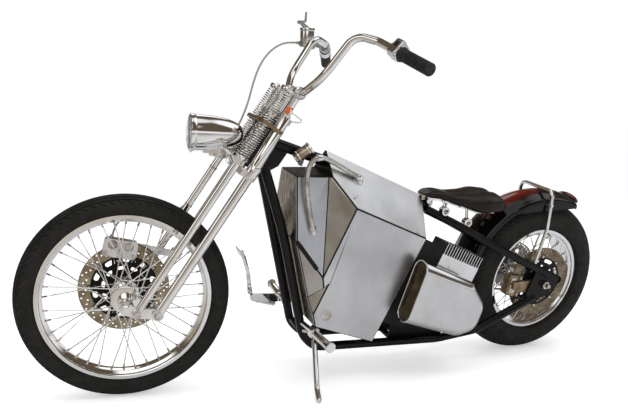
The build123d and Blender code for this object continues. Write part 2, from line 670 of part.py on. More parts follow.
CORNER_TOP = Vector(1004, 71, on_slope(356, 1004))
CORNER_BACK = Vector(923, CASE_HALF_WIDTH, on_slope(CASE_FOLD, 923))
CORNER_LOW = Vector(1023, CASE_HALF_WIDTH, 432)
RIDGE_FRONT = Vector(985, 25, on_slope(CASE_RIDGE, 985))
FOLD_REAR = Vector(625, CASE_HALF_WIDTH, on_slope(CASE_FOLD, 625))
NOSE_TOP = Vector(1121, 70, 770)
NOSE_LOW = Vector(1119, 119, 555)
CHIN_BACK = Vector(998, CASE_HALF_WIDTH, 408)
CHIN_CREASE = Vector(1078, 120, 340)
CHIN_FOOT = Vector(1060, CASE_HALF_WIDTH, 262)
CASE_MIDDLE = Vector(850, 0, 450)


def cut_beyond(solid, a, b, c, inside=CASE_MIDDLE):
    """Keeps the part of a solid on the inner side of the plane through three points."""
    normal = (b - a).cross(c - a).normalized()
    if normal.dot(inside - a) > 0:
        normal = normal * -1
    return split(solid, bisect_by=Plane(a, z_dir=normal), keep=Keep.BOTTOM)


def across(v):
    """The same point on the other side of the machine."""
    return Vector(v.X, -v.Y, v.Z)


def folded(solid, triples, inside=CASE_MIDDLE):
    """A block cut on the left and on the right by the planes of its panels."""
    for a, b, c in triples:
        solid = cut_beyond(solid, a, b, c, inside)
        solid = cut_beyond(solid, across(a), across(b), across(c), inside)
    return solid


def battery_case():
    """The folded case around the battery, in three runs: body, nose and the foot below the crease."""
    block = Pos(850, 0, 500) * Box(620, 2 * CASE_HALF_WIDTH, 760)
    block = cut_beyond(block, NOSE_TOP, NOSE_LOW, across(NOSE_TOP))
    block = folded(block, [(CORNER_BACK, FOLD_REAR, RIDGE_FRONT)])
    chin = (NOSE_LOW, CORNER_LOW, CHIN_CREASE)
    body = folded(block, [(CORNER_TOP, CORNER_BACK, CORNER_LOW), chin])
    nose = folded(block, [(CORNER_TOP, CORNER_LOW, NOSE_TOP), chin])
    crease = (CHIN_BACK, CHIN_CREASE, across(CHIN_BACK))
    upper = cut_beyond(body + nose, *crease, inside=Vector(850, 0, 700))
    lower = cut_beyond(folded(block, [(CHIN_BACK, CHIN_CREASE, CHIN_FOOT)]), *crease, inside=Vector(850, 0, 250))
    case = upper + lower
    case = cut_beyond(case, Vector(1119, 0, 555), Vector(1119, 9, 555), Vector(1033, 0, 250))
    case = cut_beyond(case, Vector(1043, 0, 252), Vector(1043, 9, 252), Vector(795, 0, 166))
    case = cut_beyond(case, Vector(795, 0, 166), Vector(795, 9, 166), Vector(625, 0, 558))
    roof_over_nose = Pos(1100, 0, 900) * Box(212, 400, 260)
    return case - roof_over_nose


def panels(case, neighbours):
    """A folded sheet on each outer face of the case, held back from the fold lines."""
    groups = {"upper_panels": [], "side_panels": [], "front_panels": []}
    for face in case.faces():
        normal = face.normal_at()
        sheet_face = offset(face, amount=-SHUT_LINE)
        sheet = without(extrude(sheet_face, PANEL_THICKNESS, dir=normal), neighbours)
        if abs(normal.Y) > 0.99:
            groups["side_panels"].append(sheet)
        elif normal.Z > 0.5 and abs(normal.Y) > 0.5:
            groups["upper_panels"].append(sheet)
        elif abs(normal.Y) > 0.3 or (normal.X > 0.9 and face.center().X > 1000):
            groups["front_panels"].append(sheet)
    return groups


# ---------------------------------------------------------------- motor and drive
MOTOR_X = 560.0
MOTOR_Z = 312.0
MOTOR_RADIUS = 118.0
COVER_FROM = 152.0
COVER_DEPTH = 84.0
MOTOR_PULLEY_RADIUS = 42.0


def motor_block():
    """The motor, closed, with the two mounting plates that stand on the lower cross tubes."""
    barrel = rod((MOTOR_X, -74, MOTOR_Z), (MOTOR_X, COVER_FROM, MOTOR_Z), MOTOR_RADIUS)
    feet = [(660, 114), (412, 108), (470, 240), (650, 240)]
    for y in (-44, 36):
        barrel += plate(feet, y, y + 8)
    return barrel


COVER_MOUTH_TOP = (652, 490)
COVER_MOUTH_LOW = (712, 262)
COVER_BACK = [(430, 400), (360, 300), (390, 204), (472, 184)]
COVER_ROUND = 62.0
COVER_EDGE = 38.0
COVER_SHEET = 3.0


def cover_pillow(inset, reach):
    """The cover's rounded form, drawn in by inset, its mouth moved ahead by reach."""
    top = (COVER_MOUTH_TOP[0] + reach, COVER_MOUTH_TOP[1] + 0.4 * reach)
    low = (COVER_MOUTH_LOW[0] + reach, COVER_MOUTH_LOW[1] + 0.32 * reach)
    start, depth = COVER_FROM + inset, COVER_DEPTH - 2 * inset
    face = make_face(Polyline(*[(x, start, z) for x, z in [top] + COVER_BACK + [low]], close=True))
    if inset:
        face = offset(face, -inset, kind=Kind.INTERSECTION)
    body = extrude(face, depth, dir=(0, 1, 0))
    corners = [edge for edge in body.edges().filter_by(Axis.Y) if edge.center().X < 600]
    body = fillet(corners, COVER_ROUND - inset)
    mouth = Vector((top[0] + low[0]) / 2, 0, (top[1] + low[1]) / 2)
    rims = []
    for edge in body.edges():
        middle = edge.center()
        on_face = min(abs(middle.Y - start), abs(middle.Y - start - depth)) < 0.1
        if on_face and (Vector(middle.X, 0, middle.Z) - mouth).length > 50:
            rims.append(edge)
    return fillet(rims, COVER_EDGE - inset)


def motor_cover():
    """The D-shaped scoop over the motor's left end, open at its slanted front mouth."""
    return cover_pillow(0, 0) - cover_pillow(COVER_SHEET, 30)


def motor_controller():
    """The controller block with its finned heat sink, sloping with the stays."""
    block = Box(186, 92, 62)
    fins = [Pos(x * 12.6 - 88, 0, 52) * Box(4, 92, 46) for x in range(15)]
    whole = joined([block] + fins)
    barrel = rod((MOTOR_X, 0, MOTOR_Z), (MOTOR_X, COVER_FROM, MOTOR_Z), MOTOR_RADIUS)
    return Pos(478, 104, 405) * Rot(0, -CASE_SLOPE, 0) * Pos(0, 0, 30) * whole - barrel


# ------------------------------------------------------------- seat, fender, lamp
FENDER_RADIUS = 373.0
FENDER_HALF_WIDTH = 82.0
FENDER_SHEET = 2.5


def fender_section(skirt, half):
    """Cross-section of the fender: a low crown, rounded shoulders and upright skirts."""

    def outline(inset):
        edge, crown, top = half - inset, half - 16, FENDER_RADIUS - inset
        shoulder = ThreePointArc((top - 18, 0, crown), (top - 24, 0, half - 5 - 0.8 * inset), (top - 36, 0, edge))
        far_shoulder = mirror(shoulder, Plane.XY)
        return [Line((skirt, 0, edge), (top - 36, 0, edge)), shoulder,
                ThreePointArc((top - 18, 0, crown), (top, 0, 0), (top - 18, 0, -crown)),
                far_shoulder, Line((top - 36, 0, -edge), (skirt, 0, -edge))]

    ends = [Line((skirt, 0, side * half), (skirt, 0, side * (half - FENDER_SHEET))) for side in (1, -1)]
    return make_face(outline(0) + outline(FENDER_SHEET) + ends)


def rear_fender():
    """Sheet fender: a plain strip between the stays in front, skirted above and behind."""
    shells = []
    for start, turn, skirt, half in ((12, 48, FENDER_RADIUS - 40, 78), (60, 53, 290, FENDER_HALF_WIDTH)):
        shells.append(Rot(0, 0, start) * revolve(fender_section(skirt, half), Axis.Z, turn))
    fender = Pos(REAR_AXLE) * (Rot(90, 0, 0) * (shells[0] + shells[1]))
    below_skirt = [(190, 610), (162, 619), (-10, 628), (-200, 643), (-200, 500), (190, 500)]
    return fender - plate(below_skirt, -120, 120)


def fender_strut(neighbours):
    """The chrome hoop that stands on the stays and passes over the fender."""
    left = [(62.0, 110.0, 404.0), (24.0, 104.0, 560.0), (20.0, 93.0, 712.0)]
    right = [(x, -side, z) for x, side, z in reversed(left)]
    hoop = bent_tube(left + right, 7.5, 30)
    for side in (-1, 1):
        hoop += rod((22, side * 81, 656), (22, side * 98, 656), 8)
    return without(hoop, neighbours)


LAMP_DEPTH = 20.0
LAMP_CURVE = 62.0


def tail_lamp():
    """A lamp pod faired onto the tail of the fender."""
    angle = math.radians(115)
    at = REAR_AXLE + Vector(math.cos(angle), 0, math.sin(angle)) * (FENDER_RADIUS - 4)
    lift = LAMP_CURVE - LAMP_DEPTH
    lens = Pos(0, 0, -lift) * Sphere(LAMP_CURVE) & Pos(0, 0, lift) * Sphere(LAMP_CURVE)
    return Pos(at) * Rot(0, -25, 0) * lens


def seat():
    """The saddle, closed and plain: its side profile cut to its plan."""
    profile = [(575, 690), (548, 702), (520, 703), (450, 690), (390, 690), (310, 700), (262, 697), (222, 668),
               (214, 642), (240, 626), (335, 622), (430, 650), (520, 676), (565, 681)]
    body = plate(profile, -130, 130)
    half_plan = [(212, 40), (224, 76), (262, 101), (320, 106), (380, 92), (440, 68), (510, 50), (560, 42), (580, 20)]
    outline = half_plan + [(x, -y) for x, y in reversed(half_plan)]
    plan = make_face(Polyline(*outline, close=True))
    saddle = body & (Pos(0, 0, 500) * extrude(plan, 300))
    return saddle - Pos(REAR_AXLE) * Rot(90, 0, 0) * Cylinder(FENDER_RADIUS + 5, 300)


def seat_base(neighbours):
    """Seat pan on its front pivot, and two pairs of hairpin springs with their posts."""
    pan = plate([(562, 681), (520, 678), (430, 652), (335, 624), (252, 621), (252, 613), (337, 615), (432, 643),
                 (521, 669), (564, 671)], -42, 42)
    pivot = rod((549, -24, 663), (549, 24, 663), 11)
    pieces = [pan + pivot]
    for side in (-1, 1):
        for x, z, y, top_y, top_z in ((500, 634, 60, 40, 676), (404, 592, 78, 62, 650)):
            ring = Pos(x, side * y, z) * Rot(90, 0, 0) * (Cylinder(17, 22) - Cylinder(11, 30))
            pieces.append(ring + rod((x, side * (y - 4), z + 14), (x, side * top_y, top_z), 5))
    return [without(piece, neighbours) for piece in pieces]


# ------------------------------------------------------- brakes, drive, controls
def rear_caliper():
    """Caliper ahead of the axle on a bracket from the left axle plate."""
    body = Pos(136, REAR_ROTOR_Y, 322) * Rot(0, -6, 0) * Box(66, 34, 86)
    body = fillet(body.edges().filter_by(Axis.Y), 10)
    bracket = plate([(40, 318), (50, 298), (120, 296), (150, 310), (150, 340), (50, 345)], 102.5, 114)
    slot = Pos(0, REAR_ROTOR_Y, REAR_AXLE.Z) * Rot(90, 0, 0) * Cylinder(REAR_ROTOR + 6, 16)
    return body + bracket - slot


def chain_loop():
    """The drive chain as one closed band outside both sprockets."""
    outer, inner = 7.0, 1.2
    rear, front = SPROCKET_RADIUS, MOTOR_PULLEY_RADIUS

    def ring(grow):
        return hull_of_two((0, REAR_AXLE.Z, rear + grow), (MOTOR_X, MOTOR_Z, front + grow))
    return ring(inner + outer) - ring(inner)


def hull_of_two(first, second):
    """The belt line round two circles, as a slab across the chain's width."""
    (x1, z1, r1), (x2, z2, r2) = first, second
    distance = math.hypot(x2 - x1, z2 - z1)
    base = math.atan2(z2 - z1, x2 - x1)
    open_angle = math.acos((r1 - r2) / distance)
    corners = []
    for (x, z, r), sign in ((first, 1), (second, 1), (second, -1), (first, -1)):
        angle = base + sign * open_angle
        corners.append((x + r * math.cos(angle), z + r * math.sin(angle)))
    shape = plate(corners, SPROCKET_Y - 6, SPROCKET_Y + 6)
    for x, z, r in (first, second):
        shape += Pos(x, SPROCKET_Y, z) * Rot(90, 0, 0) * Cylinder(r, 12)
    return shape


def motor_sprocket():
    """The small sprocket on the motor's shaft."""
    disc = Pos(MOTOR_X, SPROCKET_Y, MOTOR_Z) * Rot(90, 0, 0) * Cylinder(MOTOR_PULLEY_RADIUS, 8)
    shaft = rod((MOTOR_X, -74, MOTOR_Z), (MOTOR_X, SPROCKET_Y - 10, MOTOR_Z), 14)
    return disc + shaft


PEG_X = 1040.0
PEG_Z = 232.0


def peg_bracket(side):
    """Bracket plate on the cradle with the pivot block of the foot peg."""
    arm = rod((1051, side * 70, PEG_Z), (PEG_X, side * 150, PEG_Z), 10)
    block = Pos(PEG_X, side * 158, PEG_Z) * Box(34, 26, 30)
    return arm + fillet(block.edges(), 4)


def foot_pegs():
    pegs = []
    for side in (1, -1):
        peg = rod((PEG_X, side * 171, PEG_Z), (PEG_X - 6, side * 282, PEG_Z + 4), 15)
        peg += rod((PEG_X - 6, side * 282, PEG_Z + 4), (PEG_X - 6.4, side * 288, PEG_Z + 4), 18)
        pegs.append(peg)
    return pegs


def brake_pedal():
    """Rear brake pedal and its master cylinder, ahead of the right peg."""
    y = -205
    lever = slab([(1154, 240, 9), (1168, 322, 7), (1192, 392, 7)], 10, y)
    pad = Pos(1200, y - 16, 404) * Rot(0, 20, 0) * Box(14, 62, 30)
    pivot = rod((1154, -150, 240), (1154, y - 8, 240), 8)
    carrier = slab([(1154, 240, 16), (PEG_X + 8, PEG_Z, 16)], 8, -154)
    cylinder = rod((1136, -170, 226), (1064, -170, 206), 15)
    return lever + fillet(pad.edges(), 3) + pivot + carrier + cylinder


# -------------------------------------------------------------------- side stand
STAND_TIP_RADIUS = 9.5


def floor_height(x, y, clearance):
    """The upright z of a point at x, y that ends up this far above the floor."""
    lean, pitch = math.radians(LEAN), math.radians(PITCH)
    rise = clearance + rear_bottom + x * math.sin(pitch)
    return REAR_AXLE.Z + (rise / math.cos(pitch) + y * math.sin(lean)) / math.cos(lean)


STAND_PIVOT = Vector(1014, 104, 212)
STAND_KNEE = Vector(1056, 266, floor_height(1056, 266, 26))
STAND_FOOT = Vector(1068, 312, floor_height(1068, 312, STAND_TIP_RADIUS))
STAND_STOWED = Vector(-1.0, 0.10, -0.33)


def stand_axis():
    """Direction of the stand's pivot bolt: square to the leg down and to the leg stowed."""
    return (STAND_KNEE - STAND_PIVOT).cross(STAND_STOWED).normalized()


def side_stand():
    """The leg with its pivot boss and a foot turned outward on the floor."""
    axis = stand_axis()
    boss = rod(STAND_PIVOT - axis * 8, STAND_PIVOT + axis * 8, 17)
    along = (STAND_KNEE - STAND_PIVOT).normalized()
    neck = rod(STAND_PIVOT, STAND_PIVOT + along * 40, 7.5)
    leg = bent_tube([tuple(STAND_PIVOT + along * 26), tuple(STAND_KNEE), tuple(STAND_FOOT)], STAND_TIP_RADIUS, 45)
    tip = Pos(STAND_FOOT) * Sphere(STAND_TIP_RADIUS)
    return boss + neck + leg + tip - rod(STAND_PIVOT - axis * 20, STAND_PIVOT + axis * 20, 6.3)


def stand_bracket():
    """Cheek plates either side of the stand's boss, and its bolt, on the left cradle tube."""
    axis = stand_axis()
    bolt = rod(STAND_PIVOT - axis * 22, STAND_PIVOT + axis * 22, 6)
    cheeks = [rod(STAND_PIVOT + axis * low, STAND_PIVOT + axis * (low + 7), 19) for low in (-16, 9)]
    arm = rod((1043, 74, 200), STAND_PIVOT - axis * 14, 8)
    arm -= rod(STAND_PIVOT - axis * 9, STAND_PIVOT + axis * 9, 20)
    return joined([bolt] + cheeks) + arm


def main_switch():
    """The round switch barrel beside the backbone, on a strap."""
    barrel = rod((1122, 44, 826), (1074, 48, 862), 20)
    cap = rod((1074, 48, 862), (1064, 48.6, 869.5), 23)
    strap = Pos(1110, 22, 838) * Box(24, 34, 6)
    return barrel + cap + strap - rod((1240, 0, 886), (973, 0, 803), 19.2)


# ------------------------------------------------------------------ hose, conduit
HOSE_RADIUS = 3.5
HOSE_ROUTE = [(1038, -306, 1211), (1084, -302, 1212), (1130, -290, 1194), (1172, -270, 1158), (1204, -248, 1108),
              (1226, -224, 1048), (1244, -200, 984), (1274, -176, 914), (1318, -160, 842), (1366, -152, 766),
              (1408, -150, 694), (1452, -150, 624), (1518, -150, 580), (1588, -146, 578), (1650, -132, 584),
              (1694, -118, 564), (1703, -112, 512)]
CONDUIT_RADIUS = 9.0
CONDUIT_ROUTE = [(884, 60, 764), (944, 60, 796), (1003, 62, 826), (1050, 70, 840), (1088, 86, 816),
                 (1098, 100, 762), (1092, 110, 702), (1080, 118, 646), (1068, 124, 600)]


def corner_radii(route, fraction=0.45):
    """The arc radius at each inner point: as large as the shorter run beside it allows."""
    points = [Vector(*point) for point in route]
    radii = []
    for before, corner, after in zip(points, points[1:], points[2:]):
        into, out = corner - before, after - corner
        turn = math.radians(into.get_angle(out))
        radii.append(fraction * min(into.length, out.length) / math.tan(turn / 2))
    return radii


def front_brake_hose():
    """The hose from the right master cylinder, clipped to the right sprung leg, to the caliper."""
    hose = bent_tube(HOSE_ROUTE, HOSE_RADIUS, corner_radii(HOSE_ROUTE))
    for up in (704, 860):
        leg = fork_point(up, FRONT_LEG_OFFSET, -FORK_HALF_WIDTH)
        hose += rod((leg.X, leg.Y - 10, leg.Z), (leg.X, leg.Y - 26, leg.Z), 5)
    return hose + rod((1703, -112, 520), (1702, -111, 506), 6)


def conduit():
    """Conduit that arches from a gland on the case's top panel to one on its front facet."""
    route = CONDUIT_ROUTE
    line = bent_tube(route, CONDUIT_RADIUS, corner_radii(route))
    top = rod((872, 60, 757.5), (892, 60, 768.3), 11)
    seat_of_gland = rod((876, 60, 740), (878, 60, 764), 11)
    low = rod((1070, 123, 608), (1063, 126, 584), 11)
    foot = rod((1064, 127, 590), (1062, 108, 586), 11)
    return line + top + seat_of_gland + low + foot


# ---------------------------------------------------------------------- assembly
def build():
    """Every sub-part by name, with the body that it belongs to."""
    bodies = {"frame": {}, "fork": {}, "front_wheel": front_wheel(), "rear_wheel": rear_wheel(),
              "side_stand": {"side_stand": side_stand()}}
    frame, fork = bodies["frame"], bodies["fork"]

    frame["steering_neck"] = steering_neck()
    frame["backbone_tube"] = backbone_tube()
    left_down = downtube() - frame["steering_neck"]
    left_rail = bottom_rail() - left_down
    left_stay = upper_stay() - frame["backbone_tube"]
    left_stay += axle_plate([left_rail])
    frame["downtubes"] = both_sides(left_down)
    frame["bottom_rails"] = both_sides(left_rail)
    frame["upper_stays"] = both_sides(left_stay)
    frame["cross_tubes"] = cross_tubes(frame["bottom_rails"] + frame["upper_stays"])
    case = battery_case()
    frame.update(panels(case, [frame["backbone_tube"]] + frame["downtubes"]))
    frame["battery_case"] = case - frame["backbone_tube"]
    frame["motor_block"] = without(motor_block(), frame["cross_tubes"]) + motor_sprocket()
    frame["motor_cover"] = motor_cover()
    frame["motor_controller"] = motor_controller()
    frame["drive_chain"] = chain_loop()
    frame["rear_axle"] = rear_axle()
    frame["rear_caliper"] = rear_caliper()
    frame["rear_fender"] = rear_fender()
    frame["fender_strut"] = fender_strut(frame["upper_stays"] + [frame["rear_fender"]])
    frame["tail_lamp"] = tail_lamp() - frame["rear_fender"]
    frame["seat"] = seat()
    wheel_arch = Pos(REAR_AXLE) * Rot(90, 0, 0) * Cylinder(FENDER_RADIUS + 2, 400)
    bearers = frame["upper_stays"] + [frame["backbone_tube"], case, wheel_arch, frame["seat"]]
    frame["seat_base"] = seat_base(bearers)
    cradle = frame["downtubes"] + frame["bottom_rails"]
    brackets = [without(peg_bracket(side), cradle + [case]) for side in (1, -1)]
    frame["foot_pegs"] = [bracket + peg for bracket, peg in zip(brackets, foot_pegs())]
    frame["brake_pedal"] = without(brake_pedal(), frame["foot_pegs"])
    frame["stand_bracket"] = without(stand_bracket(), cradle)
    frame["main_switch"] = main_switch()
    sheets = frame["upper_panels"] + frame["front_panels"]
    frame["conduit"] = without(conduit(), sheets + [frame["battery_case"], frame["backbone_tube"]])

    links = rockers()
    legs = both_sides(rigid_leg() - links[0])
    sprung = both_sides(sprung_leg() - links[0])
    fork["rockers"] = links
    fork["rigid_legs"] = legs
    fork["sprung_legs"] = sprung
    fork["fork_springs"] = springs()
    fork["steering_stem"] = lower_crown(legs) + steering_stem()
    fork["upper_crown"] = upper_crown(legs)
    fork["spring_perch"] = spring_perch(legs)
    fork["front_yoke"] = front_yoke(sprung + [fork["steering_stem"]])
    fork["headlight_shell"] = headlight_shell()
    fork["headlight_bracket"] = headlight_bracket(fork["front_yoke"])
    fork["headlight_lens"] = headlight_lens() - fork["headlight_shell"]
    fork["handlebar"] = handlebar()
    fork["bar_risers"] = risers()
    fork["grips"] = grips()
    fork["switch_housings"] = switch_housings()
    fork["brake_master"] = brake_master() - fork["handlebar"] + brake_lever()
    fork["turn_signals"] = [without(lamp, legs + [fork["upper_crown"]]) for lamp in turn_signals()]
    fork["front_axle"] = front_axle()
    caliper = front_caliper()
    fork["front_caliper"] = caliper + caliper_link(caliper)
    fork["front_brake_hose"] = without(front_brake_hose(), sprung + [fork["front_caliper"], fork["brake_master"]])
    return bodies


def stood(shape, is_steered):
    """A shape of the upright bike, steered if it turns with the fork, then leaned."""
    pieces = shape if isinstance(shape, list) else [shape]
    placed = []
    for piece in pieces:
        if is_steered:
            piece = piece.rotate(STEERING_AXIS, -STEER_RIGHT)
        placed.append(STANCE * piece)
    return placed[0] if len(placed) == 1 else Compound(children=placed)


BODIES = build()
STANDING = {body: {name: stood(shape, body in ("fork", "front_wheel")) for name, shape in nodes.items()}
            for body, nodes in BODIES.items()}
EVERYTHING = Compound(children=[shape.moved(Location()) for nodes in STANDING.values() for shape in nodes.values()])
BOX = EVERYTHING.bounding_box()
CENTRING = Pos(-BOX.center().X, -BOX.center().Y, 0)

os.makedirs("parts", exist_ok=True)
for nodes in STANDING.values():
    for name, shape in nodes.items():
        export_step(CENTRING * shape, "parts/" + name + ".step")
print("size", BOX.size)
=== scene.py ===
import json
from math import acos, atan2, ceil, copysign, cos, degrees, exp, hypot, pi, radians, sin, sqrt, tan

import bpy
from mathutils import Matrix, Vector


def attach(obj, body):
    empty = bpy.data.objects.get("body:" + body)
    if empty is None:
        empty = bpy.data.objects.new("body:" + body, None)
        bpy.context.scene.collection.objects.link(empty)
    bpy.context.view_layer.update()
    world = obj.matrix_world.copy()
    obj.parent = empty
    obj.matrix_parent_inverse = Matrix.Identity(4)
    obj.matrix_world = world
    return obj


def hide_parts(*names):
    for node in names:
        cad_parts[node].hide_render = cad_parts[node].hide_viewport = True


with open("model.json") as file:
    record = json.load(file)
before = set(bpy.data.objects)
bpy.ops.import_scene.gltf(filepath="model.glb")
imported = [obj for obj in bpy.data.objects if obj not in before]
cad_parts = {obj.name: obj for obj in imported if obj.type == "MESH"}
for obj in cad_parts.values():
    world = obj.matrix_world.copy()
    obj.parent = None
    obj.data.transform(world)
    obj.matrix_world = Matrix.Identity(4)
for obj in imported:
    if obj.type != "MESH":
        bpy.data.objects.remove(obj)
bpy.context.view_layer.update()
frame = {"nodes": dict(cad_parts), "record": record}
TURN = 2 * pi
X, Y, Z = Vector((1, 0, 0)), Vector((0, 1, 0)), Vector((0, 0, 1))

# ---- the machine's own frames
RAKE = radians(31.0)
JOINTS = {joint["name"]: joint for joint in frame["record"]["behaviour"]["joints"]}


def joint_axis(name):
    return Vector(JOINTS[name]["axis"]).normalized()


def upright_frame(wheel_joint, centre):
    """Matrix from the upright machine, in millimetres, to the row frame, by one wheel and the steering."""
    side, steer = joint_axis(wheel_joint), joint_axis("steering")
    ahead = side.cross(steer).normalized()
    forward = ahead * cos(RAKE) - steer * sin(RAKE)
    up = ahead * sin(RAKE) + steer * cos(RAKE)
    turn = Matrix((forward, side, up)).transposed()
    place = Vector(JOINTS[wheel_joint]["pos_m"]) - turn @ (Vector(centre) * 0.001)
    return Matrix.Translation(place) @ turn.to_4x4() @ Matrix.Scale(0.001, 4)


REAR, FRONT = (0.0, 0.0, 327.0), (1660.0, 0.0, 344.0)
STANCE = upright_frame("rear_wheel_spin", REAR)
FORK = upright_frame("front_wheel_spin", FRONT)
AXIS_FOOT = Vector((1770, 0, 0))
AXIS_UP = Vector((-sin(RAKE), 0, cos(RAKE)))
AXIS_AHEAD = Vector((cos(RAKE), 0, sin(RAKE)))


def fork_point(up, ahead, y=0.0):
    return AXIS_FOOT + AXIS_UP * up + AXIS_AHEAD * ahead + Y * y


# ---- camera
CAMERA_PLACE = Vector((1.1912, 2.1427, 0.9279))
CAMERA_YAW = -24.252
CAMERA_PITCH = -6.910
CAMERA_ROLL = -1.856
LENS = 40.22


def make_camera():
    """The photographer's place, to the front and left of the machine."""
    yaw = Matrix.Rotation(radians(CAMERA_YAW), 3, "Z")
    ahead, right, up = yaw @ Vector((0, -1, 0)), yaw @ Vector((-1, 0, 0)), Z
    pitch = Matrix.Rotation(radians(CAMERA_PITCH), 3, right)
    ahead, up = pitch @ ahead, pitch @ up
    roll = Matrix.Rotation(radians(CAMERA_ROLL), 3, ahead)
    right, up = roll @ right, roll @ up
    data = bpy.data.cameras.new("camera")
    data.lens = LENS
    data.sensor_width = 36
    data.sensor_fit = "HORIZONTAL"
    data.clip_end = 100
    camera = bpy.data.objects.new("camera", data)
    camera.matrix_world = Matrix.Translation(CAMERA_PLACE) @ Matrix((right, up, -ahead)).transposed().to_4x4()
    bpy.context.scene.collection.objects.link(camera)
    bpy.context.scene.camera = camera


make_camera()

# ---- materials


class Nodes:
    """Makes and joins the nodes of one tree."""

    def __init__(self, tree):
        self.tree = tree

    def node(self, kind, operation=None, **inputs):
        made = self.tree.nodes.new(kind)
        if operation:
            made.operation = operation
        for key, value in inputs.items():
            made.inputs[key.replace("_", " ")].default_value = value
        return made

    def link(self, out, into):
        self.tree.links.new(out, into)
        return self

    def facing(self, source, direction, low, high):
        """0 to 1 as a vector's part along a direction grows from low to high."""
        dot = self.node("ShaderNodeVectorMath", "DOT_PRODUCT")
        dot.inputs[1].default_value = Vector(direction).normalized()
        made = self.node("ShaderNodeMapRange", From_Min=low, From_Max=high)
        made.interpolation_type = "SMOOTHSTEP"
        self.link(source, dot.inputs[0]).link(dot.outputs["Value"], made.inputs["Value"])
        return made.outputs["Result"]

    def mixed(self, fac, a, b):
        made = self.node("ShaderNodeMix")
        made.data_type = "RGBA"
        for value, into in ((a, made.inputs[6]), (b, made.inputs[7])):
            if isinstance(value, tuple):
                into.default_value = (*value, 1)
            else:
                self.link(value, into)
        self.link(fac, made.inputs[0])
        return made.outputs[2]

    def mixed_shader(self, fac, a, b):
        made = self.node("ShaderNodeMixShader")
        self.link(fac, made.inputs[0]).link(a, made.inputs[1]).link(b, made.inputs[2])
        return made.outputs[0]


class Paint(Nodes):
    """A node material built step by step around one Principled shader."""

    def __init__(self, name, metal=0.0, **inputs):
        self.mat = bpy.data.materials.new(name)
        self.mat.use_nodes = True
        super().__init__(self.mat.node_tree)
        self.shader = self.tree.nodes["Principled BSDF"]
        self.shader.inputs["Metallic"].default_value = metal
        for key, value in inputs.items():
            self.shader.inputs[key.replace("_", " ")].default_value = value
        self.coords = self.node("ShaderNodeTexCoord").outputs["Object"]
        self.height = None
        MATERIALS[name] = self.mat

    def pattern(self, spec):
        """A noise of (scale, detail, roughness, stretch), or cells of ("cells", scale, feature)."""
        if spec[0] == "cells":
            made = self.node("ShaderNodeTexVoronoi", Scale=spec[1])
            made.feature = spec[2] if len(spec) > 2 else "F1"
            self.link(self.coords, made.inputs["Vector"])
            return made.outputs["Distance"]
        scale, detail, rough, stretch = [*spec, *(None, None, 0.55, None)[len(spec):]]
        made = self.node("ShaderNodeTexNoise", Scale=scale, Detail=detail, Roughness=rough)
        source = self.coords
        if stretch:
            mapping = self.node("ShaderNodeMapping", Scale=stretch)
            self.link(source, mapping.inputs["Vector"])
            source = mapping.outputs["Vector"]
        self.link(source, made.inputs["Vector"])
        return made.outputs["Fac"]

    def ramp(self, spec, stops):
        """A pattern's colours; a number stands for a grey."""
        made = self.node("ShaderNodeValToRGB")
        elements = made.color_ramp.elements
        while len(elements) < len(stops):
            elements.new(0.5)
        for element, (place, color) in zip(elements, stops):
            element.position = place
            element.color = (color, color, color, 1) if isinstance(color, float) else (*color, 1)
        self.link(self.pattern(spec), made.inputs["Fac"])
        return made.outputs["Color"]

    def colored(self, out):
        return self.link(out, self.shader.inputs["Base Color"])

    def roughened(self, spec, low, high):
        made = self.node("ShaderNodeMapRange", From_Min=0.3, From_Max=0.7, To_Min=low, To_Max=high)
        self.link(self.pattern(spec), made.inputs["Value"])
        return self.link(made.outputs["Result"], self.shader.inputs["Roughness"])

    def bumped(self, spec, strength, distance):
        made = self.node("ShaderNodeBump", Strength=strength, Distance=distance)
        self.link(self.pattern(spec), made.inputs["Height"])
        if self.height:
            self.link(self.height, made.inputs["Normal"])
        self.height = made.outputs["Normal"]
        return self.link(self.height, self.shader.inputs["Normal"])

    def zone(self, source, direction, low, high):
        """The same as facing, with the direction of the upright machine."""
        return self.facing(source, STANCE.to_3x3() @ Vector(direction), low, high)


MATERIALS = {}
